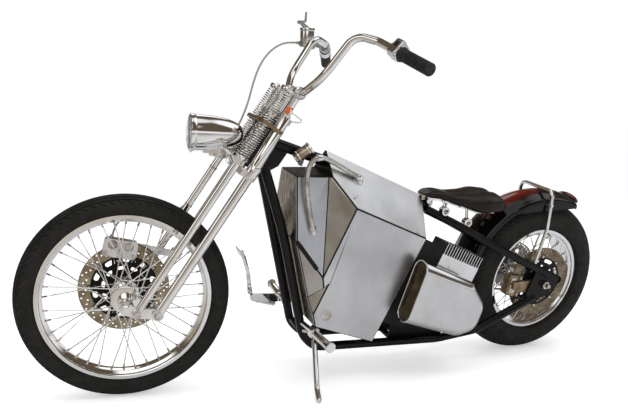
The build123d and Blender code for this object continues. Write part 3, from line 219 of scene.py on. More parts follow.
# each: metal, roughness or (pattern, low, high), colour pattern or None, colours, bumps, then other inputs
PAINTS = {
    "chrome": (1, ((26, 5), 0.02, 0.1), (9, 4),
               ((0.25, (0.74, 0.71, 0.66)), (0.5, (0.88, 0.87, 0.86)), (0.8, 0.93)), ()),
    "worn_chrome": (1, ((60, 4), 0.08, 0.3), (30, 5),
                    ((0.3, (0.34, 0.3, 0.25)), (0.55, (0.66, 0.64, 0.6)), (0.8, (0.82, 0.81, 0.79))),
                    (((220, 2), 0.08, 0.0006),)),
    "black_gloss": (0, ((40, 4), 0.14, 0.3), (14, 4), ((0.3, 0.003), (0.75, (0.008, 0.007, 0.006))),
                    (((60, 2), 0.02, 0.0006),),
                    {"Coat_Weight": 0.1, "Coat_Roughness": 0.05, "Specular_IOR_Level": 0.16}),
    "black_satin": (0, ((70, 4), 0.38, 0.6), (25, 4),
                    ((0.3, (0.005, 0.005, 0.004)), (0.8, (0.016, 0.014, 0.012))), (((500, 2), 0.15, 0.0004),),
                    {"Specular_IOR_Level": 0.18}),
    "sheet_aluminium": (1, ((8, 5, 0.6), 0.25, 0.38), (3.2, 4),
                        ((0.25, (0.42, 0.42, 0.425)), (0.5, (0.6, 0.6, 0.605)), (0.78, 0.82)),
                        (((5, 2), 0.12, 0.004),)),
    "cover_aluminium": (1, ((14, 4), 0.1, 0.24), (6, 4),
                        ((0.25, (0.56, 0.55, 0.54)), (0.5, 0.7), (0.8, (0.82, 0.82, 0.83))),
                        (((7, 2), 0.14, 0.003),)),
    "polished_aluminium": (1, ((20, 5), 0.09, 0.24), (8, 4),
                           ((0.25, (0.6, 0.58, 0.55)), (0.55, (0.8, 0.8, 0.81)), (0.85, (0.88, 0.88, 0.89))),
                           (((90, 3, 0.5, (18, 1, 1)), 0.03, 0.0006),)),
    "cast_aluminium": (1, ((60, 4), 0.3, 0.52), (40, 5),
                       ((0.3, (0.3, 0.29, 0.28)), (0.6, 0.52), (0.85, (0.68, 0.68, 0.67))),
                       (((700, 2), 0.25, 0.0004),)),
    "brass_steel": (1, ((80, 4), 0.22, 0.42), (30, 5),
                    ((0.25, (0.2, 0.15, 0.09)), (0.55, (0.38, 0.31, 0.21)), (0.8, (0.58, 0.5, 0.38))),
                    ((("cells", 420), 0.1, 0.0004),)),
    "zinc_steel": (1, ((90, 4), 0.26, 0.5), (50, 5),
                   ((0.3, (0.22, 0.2, 0.17)), (0.6, (0.42, 0.41, 0.39)), (0.85, (0.58, 0.57, 0.55))), ()),
    "dark_rotor": (1, ((80, 4), 0.26, 0.46), (26, 5),
                   ((0.25, (0.12, 0.09, 0.055)), (0.55, (0.24, 0.19, 0.13)), (0.85, (0.42, 0.35, 0.26))), ()),
    "bronze_caliper": (0.9, ((60, 4), 0.24, 0.46), (35, 5),
                       ((0.3, (0.16, 0.11, 0.06)), (0.6, (0.33, 0.24, 0.15)), (0.85, (0.55, 0.45, 0.33))),
                       (((400, 2), 0.2, 0.0004),)),
    "grille_brass": (0.9, ((60, 4), 0.25, 0.5), (30, 4),
                     ((0.3, (0.1, 0.08, 0.05)), (0.6, (0.26, 0.2, 0.11)), (0.85, (0.5, 0.4, 0.24))), ()),
    "dark_bronze": (0.4, 0.5, (20, 4), ((0.3, (0.02, 0.017, 0.012)), (0.7, (0.08, 0.062, 0.038))), ()),
    "tyre_rubber": (0, ((50, 4), 0.55, 0.85), (18, 6, 0.65),
                    ((0.3, (0.009, 0.009, 0.008)), (0.6, (0.017, 0.016, 0.014)),
                     (0.85, (0.036, 0.032, 0.026))),
                    (((900, 2), 0.2, 0.0003),), {"Specular_IOR_Level": 0.22}),
    "grip_rubber": (0, 0.6, (60, 4), ((0.3, 0.009), (0.8, (0.03, 0.028, 0.026))),
                    (((800, 2), 0.2, 0.0003),), {"Specular_IOR_Level": 0.3}),
    "leather": (0, ((30, 4), 0.3, 0.48), (12, 5),
                ((0.3, (0.005, 0.0038, 0.0025)), (0.6, (0.011, 0.008, 0.005)), (0.85, (0.03, 0.019, 0.011))),
                ((("cells", 380, "SMOOTH_F1"), 0.3, 0.0005), ((26, 4), 0.12, 0.0018)),
                {"Coat_Weight": 0.06, "Coat_Roughness": 0.3, "Specular_IOR_Level": 0.24}),
    "glass": (0, 0.02, None, (0.97, 0.98, 1.0), (((50, 2, 0.4, (0.2, 3, 0.2)), 0.12, 0.0015),),
              {"Transmission_Weight": 0.92, "IOR": 1.45}),
    "reflector": (1, ((30, 3), 0.03, 0.12), None, (0.93, 0.93, 0.93), ()),
    "amber": (0, 0.12, ("cells", 260), ((0.1, (0.9, 0.2, 0.02)), (0.6, (0.6, 0.08, 0.012))),
              ((("cells", 260), 0.3, 0.0006),), {"Coat_Weight": 0.6, "Coat_Roughness": 0.03}),
    "tail_red": (0, 0.12, (40, 3), ((0.3, (0.04, 0.003, 0.004)), (0.7, (0.14, 0.008, 0.009))), (),
                 {"Coat_Weight": 0.3, "Coat_Roughness": 0.03, "Specular_IOR_Level": 0.3}),
    "clear_braid": (0, 0.3, ("cells", 700), ((0.1, (0.52, 0.51, 0.48)), (0.6, (0.24, 0.23, 0.21))),
                    ((("cells", 700), 0.4, 0.0005),), {"Coat_Weight": 0.5, "Coat_Roughness": 0.1})}


def make_paint(name, metal, rough, spec, colours, bumps, inputs={}):
    p = Paint(name, metal, **inputs)
    if spec:
        p.colored(p.ramp(spec, colours))
    else:
        p.shader.inputs["Base Color"].default_value = (*colours, 1)
    if isinstance(rough, tuple):
        p.roughened(*rough)
    else:
        p.shader.inputs["Roughness"].default_value = rough
    for bump in bumps:
        p.bumped(*bump)


def make_front_sheet():
    """Cloudy sheet with a painted warm reflection where it faces ahead, and flecks on the front itself whose
    brown tone is a painted reflection.
    """
    p = Paint("front_sheet", 1.0)
    normal = p.node("ShaderNodeNewGeometry").outputs["True Normal"]
    cloud = p.ramp((4, 4, 0.6),
                   ((0.25, (0.4, 0.41, 0.43)), (0.55, (0.56, 0.57, 0.6)), (0.8, (0.74, 0.75, 0.78))))
    # painted reflection: the warm room ahead, painted on the sides that face forward
    warm = p.ramp((7, 4, 0.6),
                  ((0.3, (0.34, 0.31, 0.27)), (0.6, (0.46, 0.43, 0.39)), (0.85, (0.6, 0.58, 0.54))))
    # galvanised flecks on the front, their brown tone a painted reflection of the room ahead
    fleck_and_painted_reflection = p.ramp((95, 5, 0.7, (1, 1, 0.3)),
                   ((0.32, (0.13, 0.1, 0.07)), (0.5, (0.4, 0.34, 0.27)), (0.72, (0.72, 0.68, 0.6))))
    base = p.mixed(p.zone(normal, X, 0.15, 0.3), cloud, warm)
    p.colored(p.mixed(p.zone(normal, X, 0.8, 0.9), base, fleck_and_painted_reflection))
    p.roughened((14, 5), 0.26, 0.46)
    p.bumped((95, 4, 0.6, (1, 1, 0.3)), 0.12, 0.0012)


def make_fender_paint():
    """Black lacquer with a painted red reflection across the fender's front, by the distance from its centre."""
    p = Paint("fender_paint", Roughness=0.12, Coat_Weight=0.4, Coat_Roughness=0.02, Specular_IOR_Level=0.16)
    place = p.node("ShaderNodeVectorMath", "SUBTRACT")
    place.inputs[1].default_value = STANCE @ Vector(REAR)
    p.link(p.coords, place.inputs[0])
    # mask of the painted red reflection: the crown, on its left side only
    both = p.node("ShaderNodeMath", "MULTIPLY")
    p.link(p.zone(place.outputs[0], (0.42, 0, 0.91), 0.338, 0.362), both.inputs[0])
    p.link(p.zone(place.outputs[0], (0, -1, 0), -0.052, -0.008), both.inputs[1])
    # colour of the painted red reflection
    red = p.ramp((16, 4), ((0.3, (0.05, 0.004, 0.003)), (0.7, (0.17, 0.01, 0.007))))
    p.colored(p.mixed(both.outputs[0], (0.004, 0.0035, 0.0035), red))
    p.bumped((160, 2), 0.03, 0.0005)


for paint_name, recipe in PAINTS.items():
    make_paint(paint_name, *recipe)
make_front_sheet()
make_fender_paint()

# ---- building meshes
CHAMFER = 0.35  # how far the edges of a drilled ring are rounded


def rounded(points, bends):
    """Straight runs joined by tangent arcs, as a dense list of points."""
    points = [Vector(p) for p in points]
    bends = [bends] * (len(points) - 2) if not isinstance(bends, list) else bends
    out = [points[0]]
    for a, b, c, bend in zip(points, points[1:], points[2:], bends):
        u, v = (a - b).normalized(), (c - b).normalized()
        turn = pi - u.angle(v)
        centre = b + (u + v).normalized() * hypot(bend, bend * tan(turn / 2))
        start, end = b + u * bend * tan(turn / 2), b + v * bend * tan(turn / 2)
        steps = max(3, int(turn / 0.09))
        s, e = start - centre, end - centre
        for k in range(steps + 1):
            f = k / steps
            out.append(centre + (s * sin((1 - f) * turn) + e * sin(f * turn)) / sin(turn))
    out.append(points[-1])
    return out


def dense(points, step):
    """The same line with points no further apart than step."""
    out = []
    for a, b in zip(points, points[1:]):
        count = max(1, ceil((b - a).length / step))
        out += [a.lerp(b, k / count) for k in range(count)]
    return out + [points[-1]]


def span(start, end):
    """The direction and the length from one point to another."""
    return (end - start).normalized(), (end - start).length


def circle(centre, side, other, radius, count):
    return [centre + (side * cos(a) + other * sin(a)) * radius
            for a in (TURN * k / count for k in range(count))]


class Shape:
    """Vertices and faces gathered from rings, tubes and lathed profiles, in millimetres."""

    def __init__(self):
        self.verts, self.faces = [], []

    def rings(self, rings, loop=False):
        base, wide = len(self.verts), len(rings[0])
        for ring in rings:
            self.verts += [tuple(v) for v in ring]
        count = len(rings)
        for i in range(count if loop else count - 1):
            a, b = base + i * wide, base + (i + 1) % count * wide
            for j in range(wide):
                k = (j + 1) % wide
                self.faces.append((a + j, a + k, b + k, b + j))
        if not loop:
            self.faces.append(tuple(base + j for j in reversed(range(wide))))
            self.faces.append(tuple(base + (count - 1) * wide + j for j in range(wide)))
        return self

    def tube(self, path, radius, sides, loop=False):
        """A round section carried along a path; radius is one number or one a point."""
        path = [Vector(p) for p in path]
        radii = radius if isinstance(radius, list) else [radius] * len(path)
        if loop:
            ahead, behind = path[1:] + path[:1], path[-1:] + path[:-1]
        else:
            ahead, behind = path[1:] + path[-1:], path[:1] + path[:-1]
        along = [(a - b).normalized() for a, b in zip(ahead, behind)]
        side = along[0].orthogonal().normalized()
        rings = []
        for place, t, r in zip(path, along, radii):
            side = (side - t * side.dot(t)).normalized()
            rings.append(circle(place, side, t.cross(side), r, sides))
        return self.rings(rings, loop=loop)

    def bent(self, points, bend, step, radius, sides):
        """A tube along straight runs joined by arcs, with a ring at least every step."""
        return self.tube(dense(rounded(points, bend), step), radius, sides)

    def lathe(self, place, axis, profile, sides=64):
        """A profile of (radius, height) pairs turned about an axis."""
        place, axis = Vector(place), Vector(axis).normalized()
        side = axis.orthogonal().normalized()
        return self.rings([circle(place + axis * h, side, axis.cross(side), max(r, 0.01), sides)
                           for r, h in profile])

    def rod(self, start, end, radius, sides, edge=0.8):
        """A straight bar with softened ends."""
        start, end = Vector(start), Vector(end)
        length = (end - start).length
        edge = min(edge, radius * 0.4, length * 0.3)
        profile = [(radius - edge, 0), (radius - 0.3 * edge, 0.3 * edge), (radius, edge),
                   (radius, length - edge), (radius - 0.3 * edge, length - 0.3 * edge),
                   (radius - edge, length)]
        return self.lathe(start, end - start, profile, sides)

    def pin(self, middle, reach, radius, sides, edge=0.8):
        """A bar across the machine, centred on a point."""
        return self.rod(middle - Y * reach, middle + Y * reach, radius, sides, edge)

    def nut(self, place, axis, across, height, turn=0.0):
        """A hexagon with its corners chamfered, on the side that axis points to."""
        place, axis = Vector(place), Vector(axis).normalized()
        side = Matrix.Rotation(turn, 3, axis) @ axis.orthogonal().normalized()
        radius = across / sqrt(3)
        return self.rings([circle(place + axis * (height * h), side, axis.cross(side), radius * r, 6)
                           for h, r in ((0, 0.95), (0.12, 1), (0.82, 1), (1, 0.88))])

    def slab(self, outline, low, high, edge):
        """A plate drawn by x, z corners between two values of y, its edges softened."""
        middle = Vector((sum(p[0] for p in outline), sum(p[1] for p in outline))) / len(outline)

        def ring(y, inset):
            ins = [(Vector(p) - middle).normalized() * inset for p in outline]
            return [Vector((x - d.x, y, z - d.y)) for (x, z), d in zip(outline, ins)]
        return self.rings([ring(low, edge), ring(low + edge, 0), ring(high - edge, 0), ring(high, edge)])

    def block(self, centre, size, axes, edge):
        """A box with rounded edges, its sides along three axes."""
        x, y, z = axes
        centre, (a, b, c) = Vector(centre), (s / 2 for s in size)

        def ring(h, inset):
            r = max(edge - inset, 0.05)
            return [centre + x * (sx * (a - edge) + cos(t) * r) + y * (sy * (b - edge) + sin(t) * r) + z * h
                    for sx, sy in ((1, 1), (-1, 1), (-1, -1), (1, -1))
                    for t in (atan2(sy, sx) - pi / 4 + k * pi / 8 for k in range(5))]
        bends = [(edge * (1 - sin(t)), edge * (1 - cos(t))) for t in (0, 0.3, 0.6, 0.9, 1.2, pi / 2)]
        return self.rings([ring(h - c, inset) for h, inset in reversed(bends)] +
                          [ring(c - h, inset) for h, inset in bends])


def piece(name, shape, mat, body, stands_for=(), sharp=34.0):
    """An object of the row frame that rides on a body and may stand for CAD nodes."""
    space = FORK if body in ("fork", "front_wheel") else STANCE
    mesh = bpy.data.meshes.new(name)
    mesh.from_pydata([space @ Vector(v) for v in shape.verts], [], shape.faces)
    mesh.materials.append(MATERIALS[mat])
    mesh.polygons.foreach_set("use_smooth", [True] * len(mesh.polygons))
    mesh.set_sharp_from_angle(angle=radians(sharp))
    mesh.update()
    made = bpy.data.objects.new(name, mesh)
    bpy.context.scene.collection.objects.link(made)
    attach(made, body)
    if stands_for:
        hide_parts(*stands_for)
    return made


def curve_mesh(curve):
    """A curve's vertices and faces as Blender evaluates them; the curve itself is removed."""
    holder = bpy.data.objects.new(curve.name, curve)
    bpy.context.scene.collection.objects.link(holder)
    mesh = bpy.data.meshes.new_from_object(holder.evaluated_get(bpy.context.evaluated_depsgraph_get()))
    verts, faces = [v.co.copy() for v in mesh.vertices], [tuple(p.vertices) for p in mesh.polygons]
    bpy.data.objects.remove(holder)
    bpy.data.curves.remove(curve)
    bpy.data.meshes.remove(mesh)
    return verts, faces


def slot_outline(r, t, length, width):
    """A slot bent along a circle of radius r about the angle t, with round ends, as x, y points."""
    half, wide, steps = (length - width) / 2 / r, width / 2, 5
    points = []
    for end in (1, -1):
        a = t + end * half
        for k in range(2 * steps + 1):
            f = (0 if end > 0 else pi) + pi * k / (2 * steps)
            points.append((r * cos(a) + wide * cos(a + f), r * sin(a) + wide * sin(a + f)))
        for k in range(1, steps):
            b = a - end * 2 * half * k / steps
            points.append(((r - end * wide) * cos(b), (r - end * wide) * sin(b)))
    return points


def drilled(place, holes, outer, inner, thickness, slots=()):
    """A flat ring about y with round holes (radius out, angle, hole radius) and bent slots, as a Shape."""
    curve = bpy.data.curves.new("drilled", "CURVE")
    curve.dimensions = "2D"
    curve.fill_mode = "BOTH"
    curve.extrude = thickness / 2 - CHAMFER
    curve.bevel_depth = CHAMFER
    circles = [(0, 0, outer - CHAMFER, 96), (0, 0, inner + CHAMFER, 96)]
    circles += [(r * cos(t), r * sin(t), size + CHAMFER, 14) for r, t, size in holes]
    outlines = [[(x + r * cos(TURN * k / count), y + r * sin(TURN * k / count)) for k in range(count)]
                for x, y, r, count in circles]
    for outline in outlines + [slot_outline(*one) for one in slots]:
        spline = curve.splines.new("POLY")
        spline.points.add(len(outline) - 1)
        for point, (x, y) in zip(spline.points, outline):
            point.co = (x, y, 0, 1)
        spline.use_cyclic_u = True
    across = Y.orthogonal().normalized()
    turn = Matrix((across, Y.cross(across), Y)).transposed()
    shape = Shape()
    verts, shape.faces = curve_mesh(curve)
    shape.verts = [tuple(Vector(place) + turn @ v) for v in verts]
    return shape

# ---- wheels
SPOKES = 40


def wheel_point(centre, radius, angle, lateral):
    return Vector((centre[0] + radius * cos(angle), centre[1] + lateral, centre[2] - radius * sin(angle)))


def turned(centre, profile, sides):
    """A closed (radius, lateral) profile carried round the wheel's axle."""
    rings = [[wheel_point(centre, r, TURN * k / sides, y) for r, y in profile] for k in range(sides)]
    return Shape().rings(rings, loop=True)


def tyre(centre, radius, width, rim_radius, lip, grooves, sipes):
    """The tyre with its circumferential grooves, cross cuts and sidewall ribs."""
    half = width / 2
    ring, shoulder = radius - half, rim_radius + 6
    limit = acos((shoulder - ring) / half)
    steps, around = 88, 576

    def depth(phi, k):
        side = abs(degrees(phi))
        near = radians(150 / width)
        cut = 3.6 if any(abs(abs(phi) - radians(groove)) < near for groove in grooves) else 0.0
        low, high, count, lean = sipes
        shift = (side - low) * lean * (1 if phi > 0 else -1)
        if low < side < high and (k + shift) % (around / count) < 2.0:
            cut = max(cut, 3.0)
        if side > 70:
            cut += 0.7 - 0.5 * (1 if (side % 9) < 3 else 0)
        return cut
    rings = []
    for k in range(around):
        section = [(rim_radius - 8, lip), (rim_radius + 1.5, lip)]
        for j in range(steps + 1):
            phi = limit - 2 * limit * j / steps
            r = half - depth(phi, k)
            section.append((ring + r * cos(phi), r * sin(phi)))
        section += [(rim_radius + 1.5, -lip), (rim_radius - 8, -lip)]
        rings.append([wheel_point(centre, r, TURN * k / around, y) for r, y in section])
    return Shape().rings(rings, loop=True)


def wire_rim(centre, radius, width):
    lip = width / 2
    top = [(radius - 1, lip), (radius, lip - 1), (radius, lip - 2.4), (radius - 1, lip - 3),
           (radius - 11, lip - 3.4), (radius - 11.4, lip - 12), (radius - 16, lip - 15.5),
           (radius - 21, lip - 17)]
    under = [(radius - 25, lip - 16), (radius - 24.4, lip - 13.5), (radius - 16, lip - 8.5),
             (radius - 15, lip - 6), (radius - 14.4, lip - 1.5), (radius - 12, lip)]
    outline = top + [(r, -y) for r, y in reversed(top)] + [(r, -y) for r, y in reversed(under)] + under
    return turned(centre, outline, 180)


def hub(centre, flange, half, radius):
    edge = radius + 22
    low = [(radius, 14 - flange), (edge - 6, 6 - flange), (edge, 4.5 - flange), (edge + 0.8, -flange),
           (edge, -4.5 - flange), (edge - 6, -6 - flange), (radius + 2, -flange - 7), (radius, -flange - 12),
           (radius, -half + 2), (radius - 2, -half), (10.8, -half)]
    high = [(r, -y) for r, y in reversed(low)]
    middle = [(radius - 3, 0)]
    profile = [(10.8, half)] + high[1:] + middle + low
    return turned(centre, profile, 72)


def spoke_set(centre, hub_radius, flange, rim_radius, splay):
    """Crossed spokes with their elbows at the flange, and a nipple at the rim for each."""
    wires, nipples = Shape(), Shape()
    for index in range(SPOKES):
        side = 1 if index % 2 else -1
        trailing = 1 if index % 4 < 2 else -1
        rim_angle = TURN / SPOKES * index
        hub_angle = rim_angle + trailing * radians(54)
        inner = wheel_point(centre, hub_radius, -hub_angle, side * (flange + trailing * 3.0))
        outer = wheel_point(centre, rim_radius, -rim_angle, side * splay)
        along = (outer - inner).normalized()
        elbow = inner + Y * (side * -trailing * 5)
        wires.tube([elbow, inner + along * 1.2, inner + along * 5, outer], 1.9, 10)
        nipples.rod(outer - along * 17, outer, 3.3, 8)
        wires.rod(elbow, elbow + Y * (side * -trailing * 1.8), 3.4, 10)
    return wires, nipples


def carrier(centre, y, outer, inner, arms, thickness, lean):
    """The rotor's centre: a ring of bolts and arms that reach out to the bobbins."""
    half, rim = thickness / 2, inner + 10
    shape = turned((centre[0], centre[1] + y, centre[2]),
                   [(rim, -half), (rim, half), (21, half), (21, -half)], 72)
    bobbins = Shape()
    for k in range(arms):
        a = TURN * k / arms
        for sign in (-1, 1):
            p = wheel_point(centre, inner + 4, a + sign * 0.16 + lean, y)
            q = wheel_point(centre, outer + 3, a + sign * 0.035, y)
            along = (q - p).normalized()
            shape.block((p + q) / 2, ((q - p).length, thickness, 8.5), (along, Y, along.cross(Y)), 1.2)
        tip = wheel_point(centre, outer + 4, a, y)
        shape.pin(tip, half + 0.5, 9.5, 20)
        bobbins.pin(tip, half + 2, 6, 18)
    out = Y if y > 0 else -Y
    for k in range(6):
        bobbins.nut(wheel_point(centre, 33, pi / 3 * k + 0.2, y) + out * thickness / 2, out, 11, 4.5)
    return shape, bobbins


def build_wheel(end, c, tread, rim, hub_size, lacing):
    body = f"{end}_wheel"
    piece(f"{end}_tyre_carcass", tyre(c, *tread), "tyre_rubber", body, [f"{end}_tyre"], 40)
    piece(f"{end}_rim", wire_rim(c, *rim), "chrome", body, [f"{end}_wire_wheel"], 30)
    piece(f"{end}_hub", hub(c, *hub_size), "chrome", body, [], 30)
    wires, nipples = spoke_set(c, *lacing)
    piece(f"{end}_spokes", wires, "chrome", body)
    piece(f"{end}_nipples", nipples, "worn_chrome", body)


def build_rotor(end, c, y, look, ring, holes, arms, plate, windows):
    """A drilled ring, the arms and bobbins that carry it and the slotted disc between them."""
    body, place = f"{end}_wheel", (c[0], y, c[2])
    first, count, bore = holes
    bores = [(first + 9 * (k % 3), TURN * k / count, bore) for k in range(count)]
    piece(f"{end}_rotor_ring", drilled(place, bores, *ring), look, body,
          [f"{end}_brake_rotor"], 30)
    arm_set, bobbins = carrier(c, y, ring[1], 46, *arms)
    piece(f"{end}_rotor_carrier", arm_set, "black_satin", body)
    slots = [(r, TURN * (k + shift) / arms[0], long, wide) for r, shift, long, wide in windows
             for k in range(arms[0])]
    piece(f"{end}_rotor_disc", drilled(place, [], *plate, slots), "black_satin", body, [], 30)
    piece(f"{end}_rotor_bobbins", bobbins, "worn_chrome", body)


def build_front_wheel():
    build_wheel("front", FRONT, (344, 92, 281, 27, (9, 27, 44), (47, 62, 72, 0.4)), (281, 60), (34, 88, 24),
                (41, 34, 259, 7))
    boss = Shape().lathe((1660, -93.4, 344), -Y,
                         [(11, 0), (38, 0), (40, 2), (40, 10), (38, 11.9), (11, 11.9)])
    boss.verts = [(x, y + 11.9, z) for x, y, z in boss.verts]
    piece("front_rotor_boss", boss, "cast_aluminium", "front_wheel")
    build_rotor("front", FRONT, -96, "brass_steel", (152, 112, 5), (126, 66, 3.3), (10, 6, 0.32),
                (112.2, 50, 3.4), ((97, 0.5, 44, 17), (69, 0, 26, 13)))


def caliper_fittings(name, place, turn, width, body, caps, bolts):
    """Piston caps and bolt heads on both faces of a caliper, by their offsets from its middle."""
    c, s = cos(radians(turn)), sin(radians(turn))
    shape = Shape()
    for side in (-1, 1):
        def spot(x, z):
            return Vector(place) + Vector((x * c + z * s, side * width, z * c - x * s))
        for x, z, radius in caps:
            shape.lathe(spot(x, z), Y * side, [(2, -1), (radius, -1), (radius, 1.4), (radius - 1.5, 2.6),
                                               (radius - 4, 2.6), (radius - 5, 1.6), (2, 1.6)], 40)
        for x, z in bolts:
            shape.nut(spot(x, z) - Y * side, Y * side, 11, 6)
    piece(name, shape, "worn_chrome", body)


def build_calipers():
    caliper_fittings("front_caliper_fittings", (1676, -96, 482), -10, 18, "fork",
                     ((-26, 12, 16), (26, 12, 16)), ((-46, -18), (46, -18), (0, 22), (0, -2)))
    caliper_fittings("rear_caliper_fittings", (136, 85.5, 322), -6, 17, "frame",
                     ((8, 20, 15), (8, -20, 15)), ((-20, 34), (-20, -34), (24, 0)))


def build_rear_wheel():
    build_wheel("rear", REAR, (327, 160, 216, 60, (7, 21, 36), (38, 60, 64, 0.5)), (216, 126), (42, 80, 30),
                (47, 42, 194, 18))
    bosses = Shape().rod((0, 69, 327), (0, 82.9, 327), 44, 64, 2)
    bosses.rod((0, -85.9, 327), (0, -72, 327), 44, 64, 2)
    piece("rear_hub_bosses", bosses, "cast_aluminium", "rear_wheel")
    build_rotor("rear", REAR, 85.5, "dark_rotor", (146, 104, 5), (116, 57, 3.4), (8, 5, 0.4), (104.2, 50, 3),
                ((90, 0.5, 48, 15), (66, 0, 28, 12)))
    holes = [(68, TURN * k / 6, 13) for k in range(6)] + [(88, TURN * (k + 0.5) / 12, 5) for k in range(12)]
    centre = Vector((0, -90, 327))
    piece("rear_sprocket_plate", drilled(centre, holes, 98, 22, 7), "zinc_steel", "rear_wheel",
          ["rear_sprocket"], 30)
    teeth = Shape()
    for k in range(38):
        a = TURN * (k + 0.5) / 38
        out, tangent = Vector((cos(a), 0, -sin(a))), Vector((-sin(a), 0, -cos(a)))
        teeth.rings([[centre + out * reach + tangent * s * half + Y * (t * thick)
                      for s, t in ((1, 1), (-1, 1), (-1, -1), (1, -1))]
                     for reach, half, thick in ((94, 6, 3.5), (103.6, 1.8, 1.8))])
    piece("rear_sprocket_teeth", teeth, "zinc_steel", "rear_wheel")


# ---- frame and drive


def both_ways(draw):
    """Draws a shape on the left and its mirror image on the right."""
    shape = Shape()
    draw(shape)
    count = len(shape.verts)
    shape.verts += [(x, -y, z) for x, y, z in shape.verts]
    shape.faces += [tuple(v + count for v in reversed(face)) for face in shape.faces]
    return shape


def build_frame():
    backbone = Shape().bent([(1240, 0, 886), (973, 0, 803), (548, 0, 635)], 700, 30, 19, 36)
    piece("backbone_skin", backbone, "black_gloss", "frame", ["backbone_tube"])

    def down(shape):
        shape.bent([(1228, 16, 812), (1146, 58, 565), (1058, 60, 252)], 900, 30, 17, 32)

    def rail(shape):
        shape.bent([(1058, 60, 252), (1037, 60, 176), (985, 61, 122), (727, 62, 112), (450, 66, 103),
                    (300, 112, 150), (40, 118, 272)], 90, 30, 16, 32)

    def stay(shape):
        shape.bent([(560, 24, 630), (450, 85, 584), (247, 112, 485), (-62, 118, 347)], 220, 30, 16, 32)
        shape.slab([(-78, 338), (-70, 312), (-20, 292), (30, 262), (70, 258), (84, 292), (48, 396), (6, 380)],
                   114, 122, 1.2)
        shape.rod((-70, 118, 343), (-78, 118, 339.5), 16, 32, 5)
    for name, draw, node in (("downtube_skins", down, "downtubes"), ("rail_skins", rail, "bottom_rails"),
                             ("stay_skins", stay, "upper_stays")):
        piece(name, both_ways(draw), "black_gloss", "frame", [node])
    neck = Shape().lathe(fork_point(929, 0), AXIS_UP,
                         [(18, 0), (33.5, 0), (34, 1), (34, 12), (30, 16), (30, 163), (34, 167), (34, 180),
                          (33.5, 181), (18, 181)], 48)
    neck.slab([(1252, 820), (1180, 862), (1130, 846), (1165, 790), (1212, 764), (1262, 800)], -6, 6, 1.5)
    piece("neck_skin", neck, "black_gloss", "frame", ["steering_neck"])
    beads = Shape()
    for sign in (1, -1):
        d = Vector((-0.3, sign * 0.15, -0.9)).normalized()
        side = d.orthogonal().normalized()
        ring = [Vector((1228, sign * 14, 812)) + d * 16 +
                (side * cos(t * 0.2) + d.cross(side) * sin(t * 0.2)) * 18 for t in range(31)]
        beads.tube(ring, 2.2, 8, loop=True)
    piece("weld_beads", beads, "black_gloss", "frame")


PITCH = 12.7  # between the chain's rollers


def chain_line():
    """The chain's pitch line round both sprockets, as points a pitch apart."""
    far, near = (0.0, 327.0, 108.3), (560.0, 312.0, 46.3)
    distance = hypot(near[0] - far[0], near[1] - far[1])
    base = atan2(near[1] - far[1], near[0] - far[0])
    opening = acos((far[2] - near[2]) / distance)
    line = []
    for (x, z, r), start, sweep, count, steps in ((far, opening, TURN - 2 * opening, 120, 120),
                                                  (near, -opening, 2 * opening, 60, 59)):
        for a in (base + start + sweep * k / steps for k in range(count)):
            line.append(Vector((x + r * cos(a), -90, z + r * sin(a))))
    line.append(line[0])
    total = sum((b - a).length for a, b in zip(line, line[1:]))
    count = 2 * round(total / PITCH / 2)
    out, need, walked = [], 0.0, 0.0
    for a, b in zip(line, line[1:]):
        length = (b - a).length
        while need <= walked + length and len(out) < count:
            out.append(a.lerp(b, (need - walked) / max(length, 1e-6)))
            need += total / count
        walked += length
    return out


def build_chain():
    links, rollers = Shape(), Shape()
    line = chain_line()
    for k, (a, b) in enumerate(zip(line, line[1:] + line[:1])):
        along, reach = (b - a).normalized(), (b - a).length / 2
        up = along.cross(Y)
        gap = 4.2 if k % 2 else 5.4
        for s in (-1, 1):
            centre = (a + b) / 2 + Y * s * gap
            links.rings([[centre + along * (copysign(reach, cos(t)) + 3.6 * cos(t)) +
                          up * (3.6 if abs(cos(t)) > 0.4 else 2.7) * sin(t) + Y * h
                          for t in (TURN * j / 16 for j in range(16))] for h in (-0.55, 0.55)])
        rollers.pin(a, 5.8, 2.4, 10, 0.3)
    piece("chain_links", links, "zinc_steel", "frame", ["drive_chain"])
    piece("chain_rollers", rollers, "worn_chrome", "frame")


# ---- fork
LEGS = 128  # how far out the fork's legs stand at their feet


def helix(shape, low, high, radius, wire, turns):
    """A wound spring between two points, its end turns laid flat."""
    axis, length = span(low, high)
    side = axis.orthogonal().normalized()
    other = axis.cross(side)
    steps = int(turns * 28)
    path = []
    for f in (k / steps for k in range(steps + 1)):
        ease = min(f * turns, (1 - f) * turns, 1.0)
        h = wire + (length - 2 * wire) * f
        h += (wire * 0.4 * (1 - ease)) * (-1 if f < 0.5 else 1)
        a = TURN * turns * f
        path.append(low + axis * h + (side * cos(a) + other * sin(a)) * (radius - wire))
    shape.tube(path, wire, 10)


